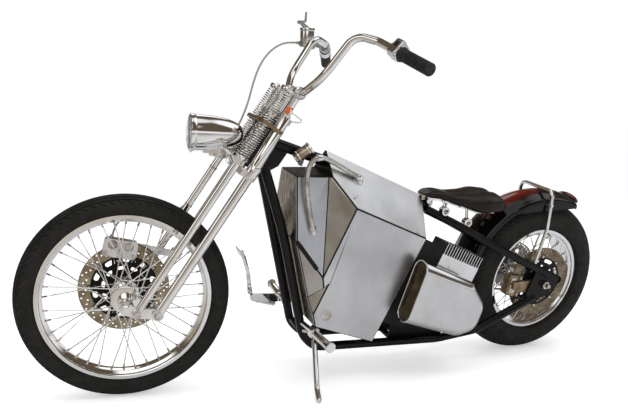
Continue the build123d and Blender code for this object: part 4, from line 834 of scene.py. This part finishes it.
def build_fork():
    pivot, heel, knee = fork_point(385, -10, LEGS), fork_point(356, 48, LEGS), fork_point(925, -10, LEGS)

    def spring_point(up):
        return fork_point(up, 30, 75)

    def rigid(shape):
        top = fork_point(1131, -10, 98)
        up, tall = span(knee, top)
        shape.pin(pivot, 15, 20, 40, 2.5)
        shape.tube([pivot, fork_point(905, -10, LEGS)], 16, 40)
        shape.lathe(fork_point(903, -10, LEGS), AXIS_UP,
                    [(15.5, 0), (20, 3), (22, 6), (22, 40), (20.5, 44), (18, 46)], 40)
        shape.lathe(knee, top - knee, [(18, 0), (19, 2), (19, tall - 3), (17, tall)], 40)
        shape.rod(top, top + up * 16, 9, 24, 1.5)
        shape.nut(top, up, 26, 9)

    def sprung(shape):
        top = fork_point(944, 48, LEGS)
        shape.tube([heel, top], 12.5, 36)
        shape.lathe(top, AXIS_UP, [(12.5, 0), (16.5, 0.5), (17, 1.5), (17, 6), (15, 8), (3, 9)], 36)
        shape.pin(heel, 13, 16, 36, 2)

    def springs(shape):
        helix(shape, spring_point(948), spring_point(1074), 22, 2.6, 15)
        helix(shape, spring_point(1086), spring_point(1202), 22, 2.6, 14)

    def caps(shape):
        middle, end = spring_point(1080), spring_point(1214)
        shape.rod(spring_point(1202), end, 23, 36, 2.5)
        shape.nut(end, AXIS_UP, 17, 7)
        shape.rod(middle - AXIS_UP * 8.5, middle + AXIS_UP * 8.5, 19, 36, 2)

    def link(shape):
        hubs = [(pivot, 17), (heel, 15), (Vector((1660, LEGS, 344)), 20)]
        for (p, r), (q, t) in zip(hubs, hubs[1:]):
            side = (q - p).normalized().cross(Y)
            corners = (p + side * r, q + side * t, q - side * t, p - side * r)
            shape.slab([(c.x, c.z) for c in corners], 122, 134, 1.4)
        for p, r in hubs:
            shape.pin(p, 6.5, r, 40, 2)

    def bolts(shape):
        for p in (pivot, heel):
            shape.rod(p + Y * 14, p + Y * 18, 14, 30, 1.4)
            shape.nut(p + Y * 17, Y, 20, 9, 0.3)
    for name, draw, look, stands_for in (
            ("rigid_leg_tubes", rigid, "chrome", ["rigid_legs"]),
            ("sprung_leg_tubes", sprung, "chrome", ["sprung_legs"]),
            ("wound_springs", springs, "chrome", ["fork_springs"]), ("spring_caps", caps, "chrome", []),
            ("rocker_plates", link, "chrome", ["rockers"]), ("rocker_bolts", bolts, "worn_chrome", [])):
        piece(name, both_ways(draw), look, "fork", stands_for)


def build_headlight():
    """The bullet shell with its rolled rim, reflector, bulb and fluted glass."""
    front = Vector((1470, 0, 894))
    shell = [(55.6, -0.5), (59.5, 0), (61, -1.6), (61, -12), (59.6, -15.5), (58.6, -17.4), (58.6, -19)]
    for f in (k / 16 for k in range(1, 17)):
        shell.append((58.4 * cos(f * 1.5) ** 0.82 + 4 * f, -19 - 156 * sin(f * 1.5) / sin(1.5)))
    shape = Shape().lathe(front, X, shell + [(2.0, -176)], 96)
    shape.faces = [face for face in shape.faces if len(face) == 4 or face[0] != 95]
    piece("headlight_bowl", shape, "chrome", "fork", ["headlight_shell"], 40)
    bowl = [(55 * cos(t * 0.1), -8 - 40 * sin(t * 0.1)) for t in range(1, 15)]
    mirror = Shape().lathe(front, X, [(55, -1)] + bowl + [(4, -48)], 72)
    mirror.faces = [face for face in mirror.faces if len(face) == 4]
    bulb = Shape().rod(front - X * 46, front - X * 26, 6, 20, 2).rod(front - X * 30, front - X * 22, 9, 24, 3)
    piece("headlight_reflector", mirror, "reflector", "fork", [], 60)
    piece("headlight_bulb", bulb, "reflector", "fork")
    glass = [(0.5, -4), (20, -4), (40, -4), (56, -4), (56.5, -3), (56, 0.5)]
    glass += [(56 * cos(t), 0.5 + 9 * sin(t)) for t in (0.3, 0.6, 0.9, 1.2, 1.45)] + [(0.5, 9.6)]
    piece("headlight_glass", Shape().lathe(front, X, glass, 96), "glass", "fork",
          ["headlight_lens"], 40)
    rim = Shape().tube([front + Vector((-1.2, 58.3 * cos(k * 0.0654), 58.3 * sin(k * 0.0654)))
                        for k in range(96)], 2.4, 10, loop=True)
    rim.nut(front + Vector((-6, 0, -61)), -Z, 6, 4)
    rim.rod((1394, 0, 852), (1394, 0, 828), 9, 24, 1).nut((1394, 0, 830), -Z, 19, 10)
    piece("headlight_rim", rim, "chrome", "fork")


# ---- handlebar and controls
BAR_TIP = Vector((875.5, 483.0, 1143.5))
BAR_ELBOW = Vector((953.8, 273.3, 1216.0))
GRIP = (BAR_ELBOW - BAR_TIP).normalized()


def along_grip(distance, side):
    place = BAR_TIP + GRIP * distance
    return Vector((place.x, side * place.y, place.z))


def grip_direction(side):
    return Vector((GRIP.x, side * GRIP.y, GRIP.z))


def build_handlebar():
    left = [(1129, 92, 1041), (1095.6, 184.3, 1094.9), (1009.1, 217, 1231.7), (953.8, 273.3, 1216),
            tuple(along_grip(4, 1))]
    right = [(x, -y, z) for x, y, z in reversed(left)]
    bar = Shape().bent(right + left, [60.0, 52.0, 110.0, 60.0, 60.0, 110.0, 52.0, 60.0], 20, 12.7, 36)
    piece("bar_tube", bar, "chrome", "fork", ["handlebar"])
    profile = [(2, 0), (15, 0), (18.5, 1.2), (19.5, 3.5), (19.5, 7)]
    for h in (9 + k * 6.4 for k in range(17)):
        profile += [(19.4, h), (19.4, h + 3.6), (17.6, h + 4.2), (17.6, h + 5.6)]
    profile += [(19.4, 119), (22.4, 122.5), (22.4, 126), (21, 128), (13, 128)]
    rubber = Shape()
    for side in (-1, 1):
        rubber.lathe(along_grip(0, side), grip_direction(side), profile, 48)
    piece("ribbed_grips", rubber, "grip_rubber", "fork", ["grips"], 28)


def build_controls():
    """Switch housings, the brake reservoir and its lever."""
    metal, black, bright = Shape(), Shape(), Shape()
    for side in (-1, 1):
        axis, place = grip_direction(side), along_grip(150, side)
        metal.lathe(along_grip(130, side), axis,
                    [(13, 0), (20.5, 0), (22, 1.5), (22, 18.6), (21.2, 19.2), (21.2, 20.2), (22, 20.8),
                     (22, 38.5), (20.5, 40), (13, 40)], 48)
    # the left housing, the last of the two, also holds the switches
    ahead = Vector((1, 0, axis.x / -axis.z)).normalized()
    across = axis.cross(ahead)
    down = across if across.z < 0 else -across
    axes = (ahead, down, axis)
    metal.block(place - ahead * 6, (52, 46, 36), axes, 6)
    metal.block(place - ahead * 14 + down * 24, (34, 26, 30), axes, 5)
    black.block(place - ahead * 30 - down * 8 + axis * 4, (10, 12, 14), axes, 3)
    black.rod(place - ahead * 26 + down * 26, place - ahead * 34 + down * 26, 6, 20, 2)
    black.block(place - down * 21 - ahead * 12, (18, 8, 12), axes, 2.5)
    for s in (-1, 1):
        bright.rod(*(place + down * low + axis * s * 13 - ahead * 4 for low in (22, 23.6)), 3, 12, 0.6)
    piece("control_housings", metal, "polished_aluminium", "fork", ["switch_housings"], 40)
    piece("control_buttons", black, "black_satin", "fork")
    piece("control_screws", bright, "worn_chrome", "fork")

    master = Shape().lathe(along_grip(182, -1), grip_direction(-1),
                           [(13, 0), (19, 0), (20, 1), (20, 23), (19, 24), (13, 24)], 40)
    master.tube([along_grip(194, -1) + Vector((8, 0, 2)), (1004, -312, 1218)], 10.5, 24)
    master.rod((1036, -304, 1210), (978, -330, 1204), 12, 32, 2)
    master.nut((1034, -304.6, 1210), (58, 26, 6), 17, 7)
    low, high = Vector((1010, -312, 1204)), Vector((1012, -312, 1268))
    up, tall = span(low, high)
    cap = Shape().lathe(low, up, [(3, 0), (23, 0), (26, 3), (26, tall - 14), (25, tall - 12), (25, tall - 11),
                                  (28, tall - 10), (28, tall - 2), (26.5, tall), (3, tall)], 56)
    side = up.orthogonal().normalized()
    for a in (pi / 4 + pi / 2 * k for k in range(4)):
        screw = high + (side * cos(a) + up.cross(side) * sin(a)) * 19 - up * 2.6
        master.rod(screw, screw + up * 2.4, 3, 12, 0.5)
    master.slab([(1010, 1254), (1040, 1278), (1052, 1282), (1052, 1291), (1040, 1293), (1006, 1271)],
                -318, -306, 2)
    lever = dense(rounded([(1044, -312, 1286), (1014, -338, 1292), (992, -416, 1330)], 34), 8)
    master.tube(lever, [5.0 - 1.6 * k / len(lever) for k in range(len(lever))], 20)
    master.rod((1044, -319, 1286), (1044, -305, 1286), 6.4, 20, 1)
    piece("master_cylinder", master, "cast_aluminium", "fork", ["brake_master"], 40)
    piece("fluid_reservoir", cap, "polished_aluminium", "fork", [], 40)


def build_signals():
    lens, body = Shape(), Shape()
    for side in (-1, 1):
        a, b = Vector((1182, side * 118, 990)), Vector((1166, side * 112, 982))
        axis, long = span(b, a)
        lens.lathe(b, axis, [(2, long - 7), (13, long - 7), (13.4, long - 5), (11, long - 1.2),
                             (6, long - 0.1), (1, long)], 40)
        body.lathe(b, axis, [(1, 0), (7, 0.4), (12, 3), (14, 7), (14, long - 6), (13, long - 5),
                             (2, long - 5)], 40)
        body.rod((1174, side * 115, 986), fork_point(1139, -10, side * 97), 5, 20)
        body.bent([(1168, side * 112, 984), (1116, side * 110, 950), (1160, side * 106, 951)], 6, 4, 2.1, 12)
    piece("signal_lenses", lens, "amber", "fork", ["turn_signals"], 40)
    piece("signal_bodies", body, "chrome", "fork")


# ---- hoses and cables


def smooth_line(name, points, fineness):
    """The route as the control points of a smooth spline, as Blender samples it, in millimetres."""
    curve = bpy.data.curves.new(name, "CURVE")
    curve.dimensions = "3D"
    curve.resolution_u = fineness
    spline = curve.splines.new("NURBS")
    spline.points.add(len(points) - 1)
    for point, place in zip(spline.points, points):
        point.co = (*place, 1)
    spline.order_u = 3
    spline.use_endpoint_u = True
    return curve_mesh(curve)[0]


HOSE_ROUTE = [(1038, -306, 1211), (1084, -302, 1212), (1130, -290, 1194), (1172, -270, 1158), (1204, -248, 1108),
              (1226, -224, 1048), (1244, -200, 984), (1274, -176, 914), (1318, -160, 842), (1366, -152, 766),
              (1408, -150, 694), (1452, -150, 624), (1518, -150, 580), (1588, -146, 578), (1650, -132, 584),
              (1694, -118, 564), (1703, -112, 512)]
CONDUIT_ROUTE = [(884, 60, 764), (944, 60, 796), (1003, 62, 826), (1050, 70, 840), (1088, 86, 816),
                 (1098, 100, 762), (1092, 110, 702), (1080, 118, 646), (1068, 124, 600)]
CONDUIT_RADIUS, RIB_DEPTH = 9.0, 1.1
SLEEVE = (31, 39)  # the ends of the conduit's sleeve, as percentages of its length


def build_hoses():
    hose = Shape().tube(smooth_line("hose_path", HOSE_ROUTE, 10), 3.5, 16)
    piece("brake_hose_line", hose, "clear_braid", "fork", ["front_brake_hose"])
    fit = Shape().rod((1703, -112, 526), (1702, -111, 506), 6, 24, 1)
    fit.rod((1038, -306, 1211), (1052, -305, 1211), 5.5, 20)
    for up in (704, 860):
        leg = fork_point(up, 48, -LEGS)
        fit.rod(leg - Y * 12, leg - Y * 26, 5, 16)
        fit.lathe(leg - AXIS_UP * 4, AXIS_UP, [(12.6, 0), (13.6, 0), (13.8, 4), (13.6, 8), (12.6, 8)], 32)
    piece("brake_hose_fittings", fit, "worn_chrome", "fork")
    line = smooth_line("conduit_path", CONDUIT_ROUTE, 36)
    radii = [CONDUIT_RADIUS - (RIB_DEPTH if k % 3 == 0 else 0.0) for k in range(len(line))]
    piece("ribbed_conduit", Shape().tube(line, radii, 24), "worn_chrome", "frame",
          ["conduit"], 60)
    gland = Shape()
    for a, b in (((872, 60, 757.5), (892, 60, 768.3)), ((1070, 123, 608), (1063, 126, 584))):
        a, b = Vector(a), Vector(b)
        gland.nut(a, b - a, 23, 9)
        gland.rod(a + (b - a) * 0.35, b, 11, 28, 1.5)
    gland.rod((876, 60, 741), (878, 60, 764), 11, 28, 1).rod((1064, 127, 590), (1062, 112, 586), 11, 28, 1)
    start, end = (len(line) * percent // 100 for percent in SLEEVE)
    gland.rod(line[start], line[end - 1], 12.5, 28, 2)
    piece("conduit_glands", gland, "polished_aluminium", "frame")


# ---- seat, fender, lamp, strut
SWELL_LIMIT = 0.004  # metres that the cloth run may move the leather
SKIRT = 333.0  # the fender skirt's least distance from the wheel's centre
SADDLE_CLEARANCE = 379.0  # the saddle's, so that it clears the fender


def fender_ring(theta, half, skirt, sheet):
    """One cross-section of the fender, outside then inside, from the left skirt to the right."""
    def profile(inset):
        edge, crown, top = half - inset, half - 16, 373.0 - inset
        pts = [(skirt + (top - 36 - skirt) * k / 4, edge) for k in range(4)]
        for t in (pi / 2 * k / 5 for k in range(6)):
            pts.append((top - 36 + 18 * sin(t), crown + (edge - crown) * cos(t)))
        for f in (k / 8 for k in range(1, 9)):
            pts.append((top - 18 * (1 - f) ** 2, crown * (1 - f)))
        return pts + [(r, -y) for r, y in reversed(pts[:-1])]
    return [wheel_point(REAR, r, -theta, y) for r, y in profile(0) + profile(sheet)[::-1]]


def skirt_depth(theta):
    """How far in the skirt reaches, so that its lower edge is the photographed line."""
    c, s = cos(theta), sin(theta)
    best = SKIRT
    line = ((190, 283), (162, 292), (-10, 301), (-200, 316))
    for (x1, z1), (x2, z2) in zip(line, line[1:]):
        den = c * (z2 - z1) - s * (x2 - x1)
        if abs(den) > 1e-6:
            r = (x1 * (z2 - z1) - z1 * (x2 - x1)) / den
            if min(x1, x2) - 1e-6 <= r * c <= max(x1, x2) + 1e-6 and r > 0:
                best = r
    return min(best, SKIRT)


def build_fender():
    rings = []
    for deg in (12 + 101 * k / 152 for k in range(153)):
        f = min(max((deg - 57) / 6, 0), 1)
        f = f * f * (3 - 2 * f)
        skirt = SKIRT + (skirt_depth(radians(deg)) - SKIRT) * f if deg > 57 else SKIRT
        rings.append(fender_ring(radians(deg), 78 + 4 * f - 0.2, skirt, 2.4))
    piece("fender_skin", Shape().rings(rings), "fender_paint", "frame", ["rear_fender"], 45)
    angles = [radians(62 + 51 * k / 39) for k in range(40)]
    lip = [wheel_point(REAR, skirt_depth(angle) + 1.5, -angle, 81.6) for angle in angles]
    edge = both_ways(lambda shape: shape.tube(lip, 2.0, 10))
    piece("fender_wired_edge", edge, "fender_paint", "frame")

    left = [(62, 110, 404), (24, 104, 560), (20, 93, 712)]
    hoop = Shape().bent(left + [(x, -y, z) for x, y, z in reversed(left)], 30, 20, 7.4, 24)
    for side in (-1, 1):
        hoop.rod((22, side * 82.5, 656), (22, side * 98, 656), 8, 24, 1)
        hoop.nut((22, side * 98, 656), (0, side, 0), 13, 8)
        hoop.rod((62, side * 110, 404), (60, side * 109, 412), 11, 24, 2)
    piece("strut_hoop", hoop, "chrome", "frame", ["fender_strut"])

    angle = radians(115)
    centre = wheel_point(REAR, 369, -angle, 0)
    out, back = Vector((cos(angle), 0, sin(angle))), Vector((-sin(angle), 0, cos(angle)))

    def shell(low, high, grow):
        """A part of the lamp's half egg between two angles from its rear tip."""
        rings = []
        for t in (low + (high - low) * k / 14 for k in range(15)):
            reach = 44 * grow * cos(t)
            rings.append([centre + out * (19 * sin(t) * grow) + back * (reach * cos(a)) + Y * (reach * sin(a))
                          for a in (TURN * j / 64 for j in range(64))])
        return Shape().rings(rings)
    piece("tail_lens", shell(0.12, 1.5, 0.98), "tail_red", "frame", ["tail_lamp"], 60)
    piece("tail_base", shell(-1.5, 0.14, 1.0), "black_gloss", "frame", [], 60)


def eased(pairs, x):
    """A value between two of the (x, value) pairs, half eased and half straight."""
    for (x1, v1), (x2, v2) in zip(pairs, pairs[1:]):
        if x1 <= x <= x2:
            f = (x - x1) / (x2 - x1)
            return v1 + (v2 - v1) * (f * f * (3 - 2 * f) * 0.5 + f * 0.5)
    return pairs[0][1] if x < pairs[0][0] else pairs[-1][1]


SEAT_HALF = [(213, 30), (220, 62), (234, 84), (262, 100), (320, 105), (380, 92), (440, 68), (510, 50),
             (556, 42), (578, 20)]
SEAT_LOW = [(213, 645), (240, 628), (335, 622), (430, 650), (520, 676), (565, 681), (578, 686)]
SEAT_HIGH = [(213, 652), (222, 667), (240, 684), (262, 695), (310, 698.5), (390, 689), (450, 689), (520, 702),
             (548, 701), (570, 694), (578, 688)]


def build_seat():
    """The saddle: crowned leather over padding, piped at its edge, on a plain skirt."""
    rings, line = [], []
    for x in (214 + 363.5 * (0.5 - 0.5 * cos(pi * k / 72)) for k in range(73)):
        half, low, high = (eased(pairs, x) for pairs in (SEAT_HALF, SEAT_LOW, SEAT_HIGH))
        thick = high - low
        edge = low + thick * 0.42
        line.append(Vector((x, half - 0.6, edge)))
        ring = []
        for t in (TURN * j / 72 for j in range(72)):
            c, s = cos(t), sin(t)
            y = half * copysign(abs(c) ** 0.62, c)
            if s >= 0:
                z = edge + thick * 0.58 * abs(s) ** 0.8
                z -= 5 * exp(-(y / 16) ** 2) * min(thick / 60, 1) * (1 if 240 < x < 470 else 0.3)
            else:
                z = edge - thick * 0.42 * abs(s) ** 0.45
            p = Vector((x, y, z))
            r = hypot(p.x, p.z - 327)
            if r < SADDLE_CLEARANCE:
                p = Vector((p.x * SADDLE_CLEARANCE / r, y, 327 + (p.z - 327) * SADDLE_CLEARANCE / r))
            ring.append(p)
        rings.append(ring)
    pad = piece("saddle", Shape().rings(rings), "leather", "frame", ["seat"], 70)
    settle(pad)
    loop = line + [Vector((p.x, -p.y, p.z)) for p in reversed(line)]
    piece("saddle_piping", Shape().tube(loop, 2.2, 8, loop=True), "leather", "frame")


def settle(pad):
    """A short cloth run lets the leather swell over its padding, capped to a few millimetres."""
    scene = bpy.context.scene
    before = [v.co.copy() for v in pad.data.vertices]
    cloth = pad.modifiers.new("swell", "CLOTH")
    cloth.settings.quality = 6
    cloth.settings.mass = 0.3
    cloth.settings.tension_stiffness = 40
    cloth.settings.bending_stiffness = 6
    cloth.settings.use_pressure = True
    cloth.settings.uniform_pressure_force = 2.0
    cloth.settings.effector_weights.gravity = 0
    for frame_number in range(1, 13):
        scene.frame_set(frame_number)
    evaluated = pad.evaluated_get(bpy.context.evaluated_depsgraph_get())
    after = [v.co.copy() for v in evaluated.data.vertices]
    pad.modifiers.remove(cloth)
    scene.frame_set(1)
    for vertex, a, b in zip(pad.data.vertices, before, after):
        move = b - a
        if move.length > SWELL_LIMIT:
            move *= SWELL_LIMIT / move.length
        vertex.co = a + move * 0.6
    pad.data.update()


# ---- switch, covers, small hardware


def build_switch():
    """The turning main switch on top of the case."""
    low, high = Vector((1122, 44, 826)), Vector((1074, 48, 862))
    axis, long = span(low, high)
    barrel = Shape().lathe(low, axis,
                           [(4, 0), (16, 0.5), (19, 3), (20, 7), (20, long - 4), (4, long - 4)], 48)
    piece("switch_barrel", barrel, "brass_steel", "frame", ["main_switch"], 40)
    rims = Shape()
    for h in (9, long - 12):
        rims.lathe(low, axis, [(19.9, h), (21.4, h + 0.8), (21.4, h + 4.2), (19.9, h + 5)], 48)
    rims.lathe(low, axis, [(18, long - 4), (23, long - 3.4), (23, long + 2), (20, long + 3.4),
                           (3, long + 3.8)], 48)
    rims.lathe(low - axis * 3, axis, [(3, 0), (14, 0.5), (16, 2), (16, 4), (3, 4)], 40)
    rims.slab([(1098, 800), (1112, 806), (1108, 838), (1090, 832)], 40, 52, 1.5)
    piece("switch_rims", rims, "chrome", "frame")


SCREW = [(2.7, -0.5), (4.5, 0), (4.5, 1.1), (3.375, 2.2), (2.025, 2.2), (1.8, 0.88), (0.5, 0.88)]


def build_hardware():
    """Screws in the sheets, the charging lock's ring and the edging on the front crease."""
    tilt = (Vector((923, 150, 677)) - Vector((1004, 71, 785))).cross(Vector((-298, 0, -119))).normalized()
    tilt = tilt if tilt.y > 0 else -tilt
    screws = Shape()
    for place in UPPER_SCREWS:
        screws.lathe(Vector(place) + tilt * 2.4, tilt, SCREW, 18)
    piece("panel_screws", screws, "worn_chrome", "frame")
    place = Vector((994, 152.2, 290))
    lock = Shape().lathe(place, Y,
                         [(14.5, 0), (20, 0), (20.5, 1), (20, 2.6), (17.5, 3.2), (15, 2.6), (14.5, 1.5)], 48)
    lock.lathe(place, Y, [(2, 0), (9, 0), (9, 2), (8, 3), (2, 3)], 32)
    piece("charging_lock", lock, "worn_chrome", "frame", [], 30)
    a, b = Vector((1120, 122.5, 556)), Vector((1046, 146.5, 462))
    along = (b - a).normalized()
    across = along.cross(Vector((0.22, 0.96, 0.12)).normalized()).normalized()
    bar = Shape().block((a + b) / 2, ((b - a).length, 15, 6), (along, across, along.cross(across)), 2)
    piece("crease_edging", bar, "black_satin", "frame")


def build_scoop():
    """The rolled rim of the motor cover's mouth, the grille in it and the plate behind it."""
    top, low = Vector((652, 0, 490)), Vector((712, 0, 262))
    up, tall = span(low, top)
    back = Vector((-up.z, 0, up.x)) if up.z > 0 else Vector((up.z, 0, -up.x))
    corner, reach = 38, 36

    def place(u, v, behind):
        return low + up * u + Y * v + back * behind

    def mouth(inset, behind):
        points, r = [], corner - inset
        for u, v, turn in ((tall - corner, 198, 0), (corner, 198, 1), (corner, 190, 2),
                           (tall - corner, 190, 3)):
            for t in (pi / 2 - pi / 2 * turn - pi / 2 * k / 12 for k in range(13)):
                points.append(place(u + r * sin(t), v + r * cos(t), behind))
        return points

    def cut(past):
        """How much the mouth's round corner takes from a wire that lies past its centre."""
        return reach - sqrt(max(reach ** 2 - max(past, 0) ** 2, 0))
    piece("scoop_rim", Shape().tube(mouth(1.5, 0.5), 3.4, 14, loop=True), "polished_aluminium", "frame")
    wires = Shape()
    for v in (155 + 78 * k / 12 for k in range(1, 12)):
        short = cut(abs(v - 194) - 2)
        wires.rod(place(4 + short, v, 16), place(tall - 4 - short, v, 16), 1.1, 8, 0.2)
    for u in (tall * k / 35 for k in range(2, 34)):
        short = cut(max(corner - u, u - (tall - corner)))
        wires.rod(place(u, 156 + short, 17.6), place(u, 232 - short, 17.6), 0.9, 8, 0.2)
    piece("scoop_grille", wires, "grille_brass", "frame")
    baffle = Shape().rings([[p + back * behind for p in mouth(4, 0)] for behind in (22, 25)])
    piece("scoop_baffle", baffle, "dark_bronze", "frame")
    outline = [(626, 556), (554, 526), (546, 478), (604, 452), (650, 420), (676, 376), (688, 330), (688, 286),
               (676, 244), (660, 206), (752, 238), (764, 236)]
    plate_between(outline)


def plate_between(outline):
    """A folded black plate that joins the case to the motor cover, its corners given by x and z."""
    count = len(outline)
    shape = Shape()
    shape.verts = [(x, y, z) for y in (143.0, 147.0) for x, z in outline]
    shape.faces = [tuple(reversed(range(count))), tuple(range(count, 2 * count))]
    shape.faces += [(k, (k + 1) % count, count + (k + 1) % count, count + k) for k in range(count)]
    piece("cover_plate", shape, "black_satin", "frame")


UPPER_SCREWS = [(913, 120, 712), (660, 146, 580)]


# ---- the CAD nodes that stay
WELD_GAP, EDGE_WIDTH = 0.00002, 0.0009  # metres, for the weld and the bevel
LOOKS = {
    "chrome": ("brake_pedal", "foot_pegs", "seat_base", "bar_risers", "front_axle", "front_yoke",
               "headlight_bracket", "steering_stem", "upper_crown", "side_stand"),
    "worn_chrome": ("rear_axle", "stand_bracket"), "black_gloss": ("cross_tubes",),
    "black_satin": ("battery_case", "motor_block"), "cover_aluminium": ("motor_cover",),
    "polished_aluminium": ("motor_controller", "front_caliper"),
    "bronze_caliper": ("rear_caliper", "spring_perch"),
    "sheet_aluminium": ("side_panels", "upper_panels"), "front_sheet": ("front_panels",)}


def dress_nodes():
    """Paints the CAD nodes that stay and breaks their sharp edges."""
    for look, names in LOOKS.items():
        for node in (frame["nodes"][name] for name in names):
            for place in node.material_slots:
                place.material = MATERIALS[look]
            if not node.material_slots:
                node.data.materials.append(MATERIALS[look])
            node.modifiers.new("weld", "WELD").merge_threshold = WELD_GAP
            bevel = node.modifiers.new("edge", "BEVEL")
            bevel.width = EDGE_WIDTH
            bevel.segments = 2
            bevel.limit_method = "ANGLE"
            bevel.angle_limit = radians(38)
            bevel.use_clamp_overlap = True


# ---- floor, light and world


def make_stage():
    """A white floor: bright to the camera, and grey with a warm side in what the machine mirrors."""
    bpy.ops.mesh.primitive_grid_add(x_subdivisions=4, y_subdivisions=4, size=60)
    floor = bpy.context.object
    floor.name = "floor"
    p = Paint("floor", Specular_IOR_Level=0.0)
    p.roughened((2, 2), 0.86, 0.94)
    path = p.node("ShaderNodeLightPath").outputs
    seen = p.mixed(p.zone(p.coords, (1, 0.35, 0), 0.5, 1.7), (0.76, 0.76, 0.77), (0.56, 0.52, 0.46))
    p.colored(p.mixed(path["Is Glossy Ray"], (0.93, 0.93, 0.93), seen))
    lit, glow = p.node("ShaderNodeAddShader"), p.node("ShaderNodeEmission", Strength=0.44)
    p.link(p.shader.outputs[0], lit.inputs[0]).link(glow.outputs[0], lit.inputs[1])
    surface = p.mixed_shader(path["Is Camera Ray"], p.shader.outputs[0], lit.outputs[0])
    p.link(surface, p.tree.nodes["Material Output"].inputs["Surface"])
    floor.data.materials.append(p.mat)


def make_world():
    """White to the camera, an even soft light, and a dark room with bright lamps for what is mirrored."""
    world = bpy.data.worlds.new("studio")
    bpy.context.scene.world = world
    world.use_nodes = True
    world.node_tree.nodes.clear()
    n = Nodes(world.node_tree)
    path = n.node("ShaderNodeLightPath").outputs
    coords = n.node("ShaderNodeTexCoord").outputs["Generated"]
    room = (0.91, 0.91, 0.93)
    for direction, low, high, color in (
            ((1, -0.1, 0), 0.05, 0.7, (0.4, 0.34, 0.27)), ((0, 0, 1), 0.1, 0.22, (0.11, 0.085, 0.06)),
            ((-0.62, 0.12, 0.78), 0.88, 0.955, (1.15, 1.17, 1.2)),
            ((0.35, 0.75, 0.62), 0.9, 0.95, (1.3, 1.3, 1.28)),
            ((0.9, 0.1, 0.45), 0.955, 0.975, (1.2, 1.18, 1.12)),
            ((-0.2, -0.75, 0.6), 0.965, 0.98, (1.2, 1.2, 1.2)),
            ((0.1, 0.15, 1), 0.9, 0.96, (0.9, 0.9, 0.9))):
        room = n.mixed(n.facing(coords, direction, low, high), room, color)
    surface = n.node("ShaderNodeBackground", Color=(0.97, 0.98, 1.0, 1), Strength=0.62).outputs[0]
    mirror = n.node("ShaderNodeBackground")
    white = n.node("ShaderNodeBackground", Color=(1, 1, 1, 1)).outputs[0]
    n.link(room, mirror.inputs["Color"])
    for ray, shade in (("Is Glossy Ray", mirror.outputs[0]), ("Is Transmission Ray", white),
                       ("Is Camera Ray", white)):
        surface = n.mixed_shader(path[ray], surface, shade)
    n.link(surface, n.node("ShaderNodeOutputWorld").inputs["Surface"])


def area_light(name, place, target, size, power):
    data = bpy.data.lights.new(name, "AREA")
    data.shape = "RECTANGLE"
    data.size, data.size_y = size
    data.energy = power
    lamp = bpy.data.objects.new(name, data)
    lamp.visible_glossy = False
    lamp.location = place
    lamp.rotation_euler = (Vector(target) - Vector(place)).to_track_quat("-Z", "Y").to_euler()
    bpy.context.scene.collection.objects.link(lamp)


for build in (build_front_wheel, build_rear_wheel, build_calipers, build_frame, build_chain, build_fork,
              build_headlight, build_handlebar, build_controls, build_signals, build_hoses, build_fender,
              build_seat, build_switch, build_hardware, build_scoop, dress_nodes, make_stage, make_world):
    build()
area_light("overhead", (0.1, 0.3, 3.2), (0, 0, 0.4), (4.2, 2.4), 48)
area_light("key", (2.4, 3.4, 2.3), (0, 0, 0.5), (1.6, 1.6), 26)
area_light("back", (-2.2, -2.6, 2.0), (0, 0, 0.5), (1.2, 2.0), 16)
bpy.context.scene.view_settings.view_transform = "Standard"
